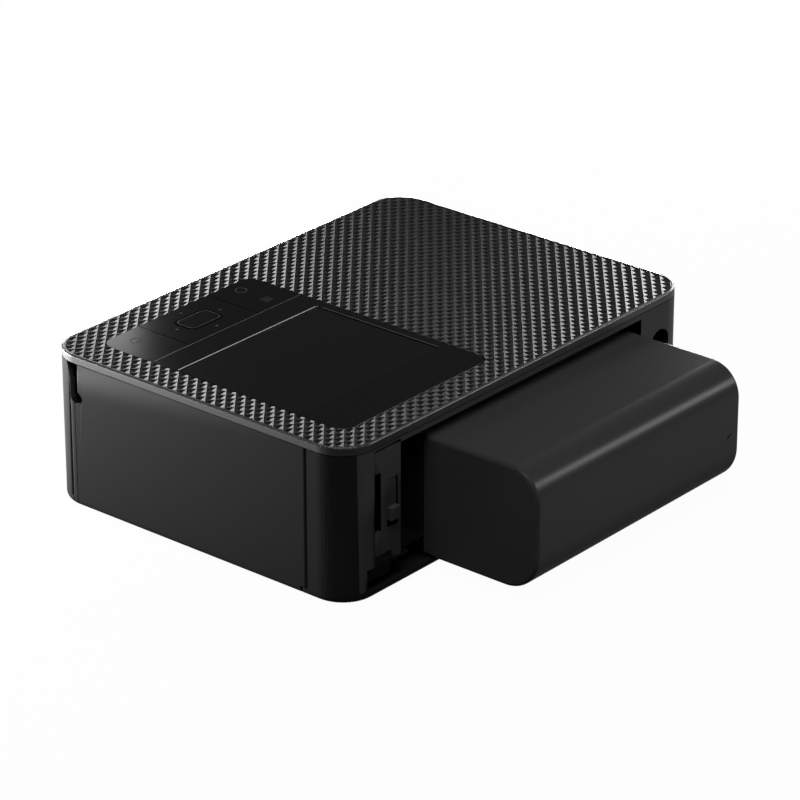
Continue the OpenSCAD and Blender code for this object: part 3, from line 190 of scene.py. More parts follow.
@dataclass(frozen=True)
class Finish:
    """One surface finish: its colour, gloss and grain, made as nodes."""

    name: str
    colour: Colour
    shade: Colour
    roughness: float
    grain: Grain = Grain.SPARK
    grain_mm: float = 0.35
    grain_depth_mm: float = 0.006
    swing: float = 0.05
    metallic: float = 0.0
    specular: float = 0.5
    coat: float = 0.0
    coat_roughness: float = 0.08
    axis: int = 0

    def material(self) -> bpy.types.Material:
        """Build the material once and return it each time after that.

        Returns:
            The node-based material.
        """
        found = bpy.data.materials.get(self.name)
        if found is not None:
            return found
        material = bpy.data.materials.new(self.name)
        material.use_nodes = True
        graph = Graph(material.node_tree)
        shader = material.node_tree.nodes["Principled BSDF"]
        shader.inputs["Metallic"].default_value = self.metallic
        shader.inputs["Specular IOR Level"].default_value = self.specular
        shader.inputs["Coat Weight"].default_value = self.coat
        shader.inputs["Coat Roughness"].default_value = self.coat_roughness
        where = graph.add("ShaderNodeTexCoord").outputs["Object"]
        broad = self._noise(graph, where, 1 / (BROAD_MM * MM), 3.0)
        fine = self._structure(graph, where)
        blend = graph.add(
            "ShaderNodeMix", {"data_type": "RGBA"}, Factor=graph.sum("MULTIPLY_ADD", broad, 0.8, 0.1)
        )
        blend.inputs["A"].default_value = (*self.colour, 1)
        blend.inputs["B"].default_value = (*self.shade, 1)
        graph.feed(shader.inputs["Base Color"], blend.outputs["Result"])
        mixed = graph.sum("MULTIPLY_ADD", fine, 0.5, graph.sum("MULTIPLY", broad, 0.5))
        low, high = self.roughness - self.swing, self.roughness + self.swing
        spread = graph.add("ShaderNodeMapRange", None, Value=mixed, To_Min=low, To_Max=high)
        graph.feed(shader.inputs["Roughness"], spread.outputs["Result"])
        bump = graph.add(
            "ShaderNodeBump", None, Strength=1.0, Distance=self.grain_depth_mm * MM, Height=fine
        )
        graph.feed(shader.inputs["Normal"], bump.outputs["Normal"])
        return material

    @staticmethod
    def _noise(
        graph: Graph, where: bpy.types.NodeSocket, scale: float, detail: float
    ) -> bpy.types.NodeSocket:
        """Return the output of a noise texture read at a place."""
        noise = graph.add(
            "ShaderNodeTexNoise", None, Vector=where, Scale=scale, Detail=detail, Roughness=0.55
        )
        return noise.outputs[0]

    def _structure(self, graph: Graph, where: bpy.types.NodeSocket) -> bpy.types.NodeSocket:
        """Build the height pattern of the finish's grain.

        Args:
            graph: The material's nodes.
            where: Object coordinates.

        Returns:
            The height, from 0 to 1.
        """
        scale = 1 / (self.grain_mm * MM)
        if self.grain is Grain.SPARK:
            cells = graph.add("ShaderNodeTexVoronoi", {"feature": "SMOOTH_F1"}, Vector=where, Scale=scale)
            fuzz = self._noise(graph, where, scale, 2.0)
            return graph.sum("MULTIPLY_ADD", cells.outputs["Distance"], 0.6, fuzz)
        if self.grain is Grain.BRUSHED:
            stretch = [1.0, 1.0, 1.0]
            stretch[self.axis] = 0.04
            lines = graph.add("ShaderNodeMapping", None, Vector=where, Scale=tuple(stretch))
            return self._noise(graph, lines.outputs["Vector"], scale, 3.0)
        if self.grain is Grain.WOUND:
            squeeze = [0.02, 0.02, 0.02]
            squeeze[self.axis] = 1.0
            rings = graph.add("ShaderNodeMapping", None, Vector=where, Scale=tuple(squeeze))
            return self._noise(graph, rings.outputs["Vector"], scale, 2.0)
        return self._noise(graph, where, scale, 4.0)


CASE_BLACK = Finish(
    "case_plastic", tone("171717"), tone("141414"), 0.42, grain_mm=0.5, grain_depth_mm=0.004, specular=0.05
)
# A darker copy of the cover plastic for the rim's outer wall: painted shade set for how that wall catches
# light.
RIM_WALL_SHADE = Finish(
    "rim_plastic", tone("202021"), tone("1d1d1e"), 0.45, grain_mm=0.5, grain_depth_mm=0.003, specular=0.3
)
COVER_BLACK = Finish(
    "cover_plastic", tone("2a2a2b"), tone("262627"), 0.28, grain_mm=0.4, grain_depth_mm=0.003, specular=0.4
)
RELIEF_BLACK = Finish(
    "relief_plastic", tone("0c0c0d"), tone("0a0a0b"), 0.31, grain_mm=0.4, grain_depth_mm=0.002, specular=0.5
)
PACK_BLACK = Finish(
    "pack_plastic", tone("303031"), tone("2c2c2d"), 0.25, grain_mm=0.5, grain_depth_mm=0.004, specular=0.05
)
INNER_BLACK = Finish(
    "inner_plastic", tone("0d0d0e"), tone("09090a"), 0.6, grain_mm=0.6, grain_depth_mm=0.008, specular=0.04
)
# A light grey on the rounding of the cover's top edge: painted highlight.
RIM_HIGHLIGHT = Finish("rim_edge", tone("5c5c5e"), tone("545456"), 0.26, Grain.SMOOTH, 1.0, 0.001, specular=0.5)
# Own plastic of the rear plate, slide and ridges; on the shell's rear-facing faces this lighter grey is
# painted light.
PLATE_AND_REAR_LIGHT = Finish(
    "plate_plastic", tone("343435"), tone("303031"), 0.5, grain_mm=0.5, grain_depth_mm=0.004, specular=0.08
)
# Near-black without gloss: painted shade for gaps, slots, grooves and cut sides where shade falls.
PAINTED_SHADE_BLACK = Finish("groove_black", tone("020202"), tone("010101"), 0.9, specular=0.0)
KEY_BLACK = Finish(
    "key_plastic", tone("121213"), tone("0e0e0f"), 0.14, Grain.SMOOTH, 2.0, 0.001, 0.03, specular=0.06
)
GLASS_BLACK = Finish(
    "window_glass", tone("0c0c0d"), tone("080809"), 0.11, Grain.SMOOTH, 6.0, 0.0004, 0.02, specular=0.18
)
DISPLAY_BLACK = Finish(
    "display_glass", tone("0c0c0d"), tone("0a0a0b"), 0.12, Grain.SMOOTH, 6.0, 0.0004, 0.02, specular=0.22
)
# Light greys laid as thin strips on edges: painted highlights.
HIGHLIGHT_GREY = Finish("polished_edge", tone("a2a2a4"), tone("949496"), 0.2, Grain.SMOOTH, 3.0, 0.0005, 0.03)
DIM_HIGHLIGHT_GREY = Finish("dark_edge", tone("5a5a5c"), tone("4c4c4e"), 0.25, Grain.SMOOTH, 3.0, 0.0005, 0.03)
MARK_GREY = Finish(
    "printed_mark", tone("2e2e30"), tone("2a2a2c"), 0.5, Grain.SMOOTH, 0.6, 0.001, specular=0.12
)
RUBBER = Finish(
    "rubber", tone("141414"), tone("1c1c1c"), 0.75, grain_mm=0.25, grain_depth_mm=0.012, specular=0.3
)
ROLLER_RUBBER = Finish(
    "roller_rubber", tone("2a2b2d"), tone("222326"), 0.68, Grain.WOUND, 0.25, 0.01, specular=0.35
)
NYLON = Finish("gear_nylon", tone("d9d6cb"), tone("cbc7ba"), 0.42, grain_mm=0.5, grain_depth_mm=0.004)
GREY_NYLON = Finish("grey_nylon", tone("8d8f92"), tone("7e8083"), 0.45, grain_mm=0.5, grain_depth_mm=0.004)
STEEL = Finish(
    "plated_steel", tone("b4b7ba"), tone("a0a3a7"), 0.32, Grain.BRUSHED, 0.3, 0.003, 0.08, 1.0, axis=1
)
SHAFT_STEEL = Finish("ground_shaft", tone("c2c4c6"), tone("aeb1b4"), 0.2, Grain.WOUND, 0.2, 0.002, 0.06, 1.0)
ZINC = Finish("zinc_casting", tone("9a9da0"), tone("85888c"), 0.45, Grain.SPARK, 0.5, 0.01, 0.08, 1.0)
ALUMINIUM = Finish(
    "sink_aluminium", tone("c7c9cc"), tone("b3b6ba"), 0.34, Grain.BRUSHED, 0.25, 0.003, 0.06, 1.0
)
GOLD = Finish(
    "contact_gold", tone("d9b265"), tone("c79f55"), 0.25, Grain.BRUSHED, 0.2, 0.002, 0.05, 1.0, axis=2
)
BOARD = Finish("board_mask", tone("0f4a2c"), tone("0b3d24"), 0.35, Grain.SMOOTH, 1.2, 0.006, coat=0.3)
CHIP = Finish("chip_epoxy", tone("1a1a1c"), tone("222225"), 0.6, grain_mm=0.3, grain_depth_mm=0.006)
CELL_WRAP = Finish("cell_wrap", tone("33587f"), tone("2b4c70"), 0.3, Grain.SMOOTH, 3.0, 0.01, coat=0.2)
CASSETTE = Finish(
    "cassette_plastic", tone("3a3a3e"), tone("303034"), 0.45, grain_mm=0.5, grain_depth_mm=0.005
)
DYE_FILM = Finish("dye_film", tone("5c1f4d"), tone("4a1a40"), 0.22, Grain.WOUND, 0.3, 0.004, coat=0.4)
USED_FILM = Finish("used_film", tone("4c4c50"), tone("3e3e42"), 0.25, Grain.WOUND, 0.3, 0.004, coat=0.4)
WEB_FILM = Finish("web_film", tone("8f7c2c"), tone("7d6c26"), 0.2, Grain.SMOOTH, 4.0, 0.004, coat=0.5)
HEAD_GLAZE = Finish("head_glaze", tone("2a1f18"), tone("221913"), 0.12, Grain.SMOOTH, 3.0, 0.002, coat=0.6)


# ---------------------------------------------------------------- mesh making


@dataclass(frozen=True)
class Outline:
    """A rectangle seen from above, with its own radius at each corner."""

    left: float
    right: float
    front: float
    rear: float
    radii: tuple[float, float, float, float] = (0.0, 0.0, 0.0, 0.0)  # front-left, then anticlockwise
    steps: int = 8

    def points(self, inset: float = 0.0) -> list[Point]:
        """Walk round the outline anticlockwise.

        Args:
            inset: How far the outline shrinks on every side.

        Returns:
            The corner points, the same count for every inset.
        """
        x0, x1 = self.left + inset, self.right - inset
        y0, y1 = self.front + inset, self.rear - inset
        corners = ((x0, y0, 1, 1, 180), (x1, y0, -1, 1, 270), (x1, y1, -1, -1, 0), (x0, y1, 1, -1, 90))
        loop: list[Point] = []
        for radius, (x, y, sx, sy, start) in zip(self.radii, corners):
            if radius <= 0:
                loop.append((x, y))
                continue
            r = max(radius - inset, 0.05)
            for k in range(self.steps + 1):
                angle = math.radians(start + 90 * k / self.steps)
                loop.append((x + sx * r + r * math.cos(angle), y + sy * r + r * math.sin(angle)))
        return loop

    def holds(self, x: float, y: float) -> bool:
        """Tell whether a point lies inside the outline."""
        loop = self.points()
        return all(
            (bx - ax) * (y - ay) - (by - ay) * (x - ax) > 0
            for (ax, ay), (bx, by) in zip(loop, loop[1:] + loop[:1])
        )


class Level:
    """One closed ring of vertices in a lofted mesh."""

    def __init__(self, mesh: bmesh.types.BMesh, loop: Sequence[Point], z: float) -> None:
        """Add the ring's vertices at one height."""
        self.verts = [mesh.verts.new(place(x, y, z)) for x, y in loop]


def join_levels(mesh: bmesh.types.BMesh, low: Level, high: Level, slot: int = 0) -> None:
    """Close the band between two rings with outward faces.

    Args:
        mesh: The mesh that is built.
        low: The ring that comes first when the outside is walked upward.
        high: The ring that comes next.
        slot: Material slot of the new faces.
    """
    count = len(low.verts)
    for k in range(count):
        n = (k + 1) % count
        face = mesh.faces.new((low.verts[k], low.verts[n], high.verts[n], high.verts[k]))
        face.material_index = slot


def cap_level(mesh: bmesh.types.BMesh, level: Level, up: bool, slot: int = 0) -> None:
    """Close a ring with one flat face.

    Args:
        mesh: The mesh that is built.
        level: The ring.
        up: Whether the face looks up.
        slot: Material slot of the new face.
    """
    face = mesh.faces.new(level.verts if up else list(reversed(level.verts)))
    face.material_index = slot


def to_object(mesh: bmesh.types.BMesh, name: str, finishes: Sequence[Finish]) -> bpy.types.Object:
    """Turn a working mesh into an object with its materials.

    Args:
        mesh: The working mesh, which is freed.
        name: The piece's name.
        finishes: The materials, in slot order.

    Returns:
        The object, linked to the scene.
    """
    data = bpy.data.meshes.new(name)
    mesh.to_mesh(data)
    mesh.free()
    piece = bpy.data.objects.new(name, data)
    bpy.context.scene.collection.objects.link(piece)
    for finish in finishes:
        data.materials.append(finish.material())
    return piece


def settle(piece: bpy.types.Object) -> bpy.types.Object:
    """Turn an object's modifiers into its own plain mesh.

    Args:
        piece: The object.

    Returns:
        The same object without modifiers.
    """
    graph = bpy.context.evaluated_depsgraph_get()
    data = bpy.data.meshes.new_from_object(piece.evaluated_get(graph), depsgraph=graph)
    piece.modifiers.clear()
    old, piece.data = piece.data, data
    data.name = piece.name
    bpy.data.meshes.remove(old)
    return piece


def soften(piece: bpy.types.Object, angle: float = 32.0) -> bpy.types.Object:
    """Shade curved faces smoothly while flat ones keep their own direction.

    Args:
        piece: The object.
        angle: Edges sharper than this many degrees stay hard.

    Returns:
        The same object.
    """
    piece.data.shade_smooth()
    piece.data.set_sharp_from_angle(angle=math.radians(angle))
    weigh = piece.modifiers.new("weigh", "WEIGHTED_NORMAL")
    weigh.keep_sharp = True
    weigh.weight = 60
    return settle(piece)


def round_edges(piece: bpy.types.Object, width_mm: float, steps: int = 2) -> bpy.types.Object:
    """Break the sharp edges of a piece with a small radius.

    Args:
        piece: The object.
        width_mm: Width of the broken edge.
        steps: Faces across the edge.

    Returns:
        The same object.
    """
    bevel = piece.modifiers.new("edge", "BEVEL")
    bevel.width = width_mm * MM
    bevel.segments = steps
    bevel.limit_method = "ANGLE"
    bevel.angle_limit = math.radians(40)
    bevel.use_clamp_overlap = True
    return settle(piece)


def skin(
    node: str,
    body: str,
    finishes: Sequence[Finish],
    painter: Painter | None = None,
    edge_mm: float = 0.0,
    name: str | None = None,
    rim: Picker | None = None,
    rim_slot: int = -1,
    cut: tuple[Vector, Vector] | None = None,
    hard: float = 32.0,
) -> bpy.types.Object:
    """Make a merged, smoothly shaded copy that stands for a node of the frame.

    Args:
        node: The node that is copied.
        body: The body that the copy rides on.
        finishes: Finishes in slot order.
        painter: Picks a slot from a face's middle and direction, in case millimetres.
        edge_mm: Radius of the broken edges, or 0 for none.
        name: The piece's name, if not the node's name with _skin.
        rim: Picks the edges that are broken, from their two ends, or None for all.
        rim_slot: Finish slot of the picked edges' rounding, or -1 for their neighbours'.
        cut: A point and a normal where faces are parted for the painter.
        hard: Edges sharper than this many degrees stay hard.

    Returns:
        The finished piece.
    """
    mesh = bmesh.new()
    mesh.from_mesh(bpy.data.objects[node].data)
    bmesh.ops.remove_doubles(mesh, verts=mesh.verts, dist=0.002 * MM)
    bmesh.ops.dissolve_degenerate(mesh, edges=mesh.edges, dist=0.001 * MM)
    if cut is not None:
        geometry = [*mesh.verts, *mesh.edges, *mesh.faces]
        bmesh.ops.bisect_plane(mesh, geom=geometry, plane_co=cut[0], plane_no=cut[1], dist=1e-8)
    for face in mesh.faces:
        face.material_index = painter(unplace(face.calc_center_median()), face.normal) if painter else 0
    if edge_mm > 0:
        bmesh.ops.dissolve_limit(
            mesh, angle_limit=math.radians(0.6), verts=mesh.verts, edges=mesh.edges, delimit={"MATERIAL"}
        )
    if rim is not None:
        chosen = [e for e in mesh.edges if rim(unplace(e.verts[0].co), unplace(e.verts[1].co))]
        bmesh.ops.bevel(
            mesh,
            geom=chosen,
            offset=edge_mm * MM,
            segments=4,
            affect="EDGES",
            profile=0.5,
            material=rim_slot,
        )
    piece = to_object(mesh, name or f"{node}_skin", finishes)
    if edge_mm > 0 and rim is None:
        round_edges(piece, edge_mm)
    soften(piece, hard)
    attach(piece, body)
    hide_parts(node)
    return piece


def dress(node: str, finish: Finish) -> bpy.types.Object:
    """Give a node of the frame its material and leave its shape.

    Args:
        node: The node.
        finish: The finish that it takes.

    Returns:
        The node's own object.
    """
    piece = bpy.data.objects[node]
    piece.data.materials.clear()
    piece.data.materials.append(finish.material())
    return piece


# ------------------------------------------------------------- geometry nodes


class Recipe:
    """A Geometry Nodes tree with named inputs, run once and turned into a mesh."""

    def __init__(self, name: str) -> None:
        """Start a tree that gives one geometry.

        Args:
            name: The tree's name.
        """
        self.tree = bpy.data.node_groups.new(name, "GeometryNodeTree")
        self.graph = Graph(self.tree)
        self.tree.interface.new_socket("Geometry", in_out="OUTPUT", socket_type="NodeSocketGeometry")
        self.tree.interface.new_socket("Geometry", in_out="INPUT", socket_type="NodeSocketGeometry")
        self.source = self.tree.nodes.new("NodeGroupInput")
        self.result = self.tree.nodes.new("NodeGroupOutput")
        self.values: dict[str, object] = {}

    def ask(self, name: str, kind: str, value: object) -> bpy.types.NodeSocket:
        """Add a named input.

        Args:
            name: The input's name.
            kind: Float, Int, Vector, Material or Object.
            value: What the modifier sets it to.

        Returns:
            The input's socket inside the tree.
        """
        socket = self.tree.interface.new_socket(name, in_out="INPUT", socket_type=f"NodeSocket{kind}")
        self.values[socket.identifier] = value
        return self.source.outputs[name]

    def finish(self, geometry: bpy.types.NodeSocket, material: bpy.types.NodeSocket) -> None:
        """End the tree in Realize Instances and Set Material.

        Args:
            geometry: What the tree has made.
            material: The material that it takes.
        """
        real = self.graph.add("GeometryNodeRealizeInstances", None, Geometry=geometry)
        dressed = self.graph.add(
            "GeometryNodeSetMaterial", None, Geometry=real.outputs["Geometry"], Material=material
        )
        self.graph.feed(self.result.inputs["Geometry"], dressed.outputs["Geometry"])

    def run(self, name: str) -> bpy.types.Object:
        """Run the tree on an empty mesh.

        Args:
            name: The piece's name.

        Returns:
            An object that holds the tree's plain mesh.
        """
        piece = bpy.data.objects.new(name, bpy.data.meshes.new(name))
        bpy.context.scene.collection.objects.link(piece)
        modifier = piece.modifiers.new("recipe", "NODES")
        modifier.node_group = self.tree
        for identifier, value in self.values.items():
            modifier[identifier] = value
        return settle(piece)


def scatter_on(
    name: str,
    shape: bpy.types.Object,
    spots: Iterable[Vector],
    finish: Finish,
    turn: Vector = Vector((0, 0, 0)),
) -> bpy.types.Object:
    """Set one shape on many spots with a tree.

    Args:
        name: The piece's name.
        shape: The shape at the origin, which is deleted afterwards.
        spots: Places in the frame, in metres.
        finish: The finish of every copy.
        turn: Rotation of every copy, in radians.

    Returns:
        One mesh with every copy in it.
    """
    marks = bpy.data.meshes.new(f"{name}_spots")
    marks.from_pydata([tuple(spot) for spot in spots], [], [])
    recipe = Recipe(f"{name}_recipe")
    part = recipe.ask("Part", "Object", shape)
    rotation = recipe.ask("Turn", "Vector", tuple(turn))
    material = recipe.ask("Material", "Material", finish.material())
    info = recipe.graph.add("GeometryNodeObjectInfo", None, Object=part)
    copies = recipe.graph.add(
        "GeometryNodeInstanceOnPoints",
        None,
        Points=recipe.source.outputs["Geometry"],
        Instance=info.outputs["Geometry"],
        Rotation=rotation,
    )
    recipe.finish(copies.outputs["Instances"], material)
    piece = bpy.data.objects.new(name, marks)
    bpy.context.scene.collection.objects.link(piece)
    modifier = piece.modifiers.new("recipe", "NODES")
    modifier.node_group = recipe.tree
    for identifier, value in recipe.values.items():
        modifier[identifier] = value
    settle(piece)
    bpy.data.objects.remove(shape)
    return piece


# ----------------------------------------------------------------- top relief


@dataclass
class ReliefField:
    """Four-sided hollows in a slanting lattice over the top cover."""

    half_x: float = 2.55
    half_y: float = 2.12
    height: float = 0.4
    level: float = 57.2
    phase_x: float = 0.0
    phase_y: float = 0.0
    columns: int = 38
    rows: int = 34
    field: Outline = Outline(-89.9, 89.9, -65.3, 65.3, (11.4, 11.4, 11.4, 11.4))
    hole: Outline = Outline(3.0, 78.0, -54.3, 54.5, (5.5, 5.5, 5.5, 5.5))

    def _cell(self, recipe: Recipe, half_x: object, half_y: object, height: object) -> bpy.types.NodeSocket:
        """Shape one four-sided hollow on a lozenge.

        Args:
            recipe: The tree that is built.
            half_x: Half the lozenge's width.
            half_y: Half the lozenge's length.
            height: Depth of the hollow.

        Returns:
            The hollow's geometry.
        """
        graph = recipe.graph
        cone = graph.add("GeometryNodeMeshCone", {"fill_type": "NONE"}, Vertices=4, Depth=height)
        cone.inputs["Radius Top"].default_value = 1.0
        cone.inputs["Radius Bottom"].default_value = 0.0
        size = graph.add("ShaderNodeCombineXYZ", None, X=half_x, Y=half_y, Z=1.0)
        fitted = graph.add(
            "GeometryNodeTransform", None, Geometry=cone.outputs["Mesh"], Scale=size.outputs["Vector"]
        )
        return fitted.outputs["Geometry"]

    def _lattice(self, recipe: Recipe, half_x: object, half_y: object) -> bpy.types.NodeSocket:
        """Lay out the lattice's points in two interleaved grids.

        Args:
            recipe: The tree that is built.
            half_x: Half the lozenge's width.
            half_y: Half the lozenge's length.

        Returns:
            The points.
        """
        graph = recipe.graph
        wide = graph.sum("MULTIPLY", half_x, 2.0 * (self.columns - 1))
        long = graph.sum("MULTIPLY", half_y, 2.0 * (self.rows - 1))
        grid = graph.add(
            "GeometryNodeMeshGrid",
            None,
            Size_X=wide,
            Size_Y=long,
            Vertices_X=self.columns,
            Vertices_Y=self.rows,
        )
        step = graph.add("ShaderNodeCombineXYZ", None, X=half_x, Y=half_y)
        second = graph.add(
            "GeometryNodeTransform", None, Geometry=grid.outputs["Mesh"], Translation=step.outputs["Vector"]
        )
        both = graph.add("GeometryNodeJoinGeometry")
        for part in (grid.outputs["Mesh"], second.outputs["Geometry"]):
            graph.tree.links.new(part, both.inputs["Geometry"])
        return graph.add("GeometryNodeMeshToPoints", None, Mesh=both.outputs["Geometry"]).outputs["Points"]

    def _grow(self) -> bpy.types.Object:
        """Run the lattice's tree over the whole cover.

        Returns:
            The relief before it is cut.
        """
        recipe = Recipe("relief_recipe")
        half_x = recipe.ask("Half width", "Float", self.half_x * MM)
        half_y = recipe.ask("Half length", "Float", self.half_y * MM)
        height = recipe.ask("Height", "Float", self.height * MM)
        middle = recipe.ask("Middle", "Vector", tuple(place(self.phase_x, self.phase_y, self.level)))
        material = recipe.ask("Material", "Material", RELIEF_BLACK.material())
        copies = recipe.graph.add(
            "GeometryNodeInstanceOnPoints",
            None,
            Points=self._lattice(recipe, half_x, half_y),
            Instance=self._cell(recipe, half_x, half_y, height),
        )
        placed = recipe.graph.add(
            "GeometryNodeTransform", None, Geometry=copies.outputs["Instances"], Translation=middle
        )
        recipe.finish(placed.outputs["Geometry"], material)
        return recipe.run("top_relief")

    @staticmethod
    def _cut(
        mesh: bmesh.types.BMesh, faces: Iterable[bmesh.types.BMFace], a: Point, b: Point, clear: bool
    ) -> None:
        """Cut faces along an upright plane through two points.

        Args:
            mesh: The relief.
            faces: The faces that the plane may cut.
            a: First point of the outline's side.
            b: Second point, anticlockwise from the first.
            clear: Whether what lies outside the side goes away.
        """
        normal = Vector((b[1] - a[1], a[0] - b[0], 0)).normalized()
        chosen = list(faces)
        geometry = {*chosen, *(e for f in chosen for e in f.edges), *(v for f in chosen for v in f.verts)}
        bmesh.ops.bisect_plane(
            mesh,
            geom=list(geometry),
            plane_co=place(a[0], a[1], 0),
            plane_no=normal,
            clear_outer=clear,
            dist=1e-9,
        )

    def _trim(self, mesh: bmesh.types.BMesh) -> None:
        """Cut the field to the rim and to the panel's opening.

        Args:
            mesh: The relief.
        """
        loop = self.field.points()
        for a, b in zip(loop, loop[1:] + loop[:1]):
            self._cut(mesh, mesh.faces, a, b, clear=True)
        loop = self.hole.points()
        reach = self.half_x + 0.2
        for a, b in zip(loop, loop[1:] + loop[:1]):
            low = place(min(a[0], b[0]) - reach, min(a[1], b[1]) - reach, 0)
            high = place(max(a[0], b[0]) + reach, max(a[1], b[1]) + reach, 0)
            near = [
                f
                for f in mesh.faces
                if low.x < f.calc_center_median().x < high.x and low.y < f.calc_center_median().y < high.y
            ]
            self._cut(mesh, near, a, b, clear=False)
        inside = [f for f in mesh.faces if self.hole.holds(*unplace(f.calc_center_median()).xy)]
        bmesh.ops.delete(mesh, geom=inside, context="FACES")

    def _skirt(self, mesh: bmesh.types.BMesh) -> None:
        """Close the cut sides of the relief down to the cover; they take near-black painted shade.

        Args:
            mesh: The relief.
        """
        floor = place(0, 0, self.level).z
        seams = [e for e in mesh.edges if e.is_boundary]
        for edge in seams:
            if max(v.co.z for v in edge.verts) < floor + 0.004 * MM:
                continue
            corner = edge.link_loops[0]
            first, second = corner.link_loop_next.vert, corner.vert
            low = [mesh.verts.new((v.co.x, v.co.y, floor)) for v in (second, first)]
            # Slot 1 is the near-black painted shade on the cut sides.
            mesh.faces.new((first, second, *low)).material_index = 1

    def build(self) -> bpy.types.Object:
        """Make the relief and seat it on the cover.

        Returns:
            The relief.
        """
        piece = self._grow()
        mesh = bmesh.new()
        mesh.from_mesh(piece.data)
        self._trim(mesh)
        self._skirt(mesh)
        bmesh.ops.delete(mesh, geom=[v for v in mesh.verts if not v.link_faces], context="VERTS")
        mesh.to_mesh(piece.data)
        mesh.free()
        # Slot 1, the cut sides, is painted shade.
        piece.data.materials.append(PAINTED_SHADE_BLACK.material())
        piece.data.shade_flat()
        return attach(piece, "case")


# -------------------------------------------------------------- control panel


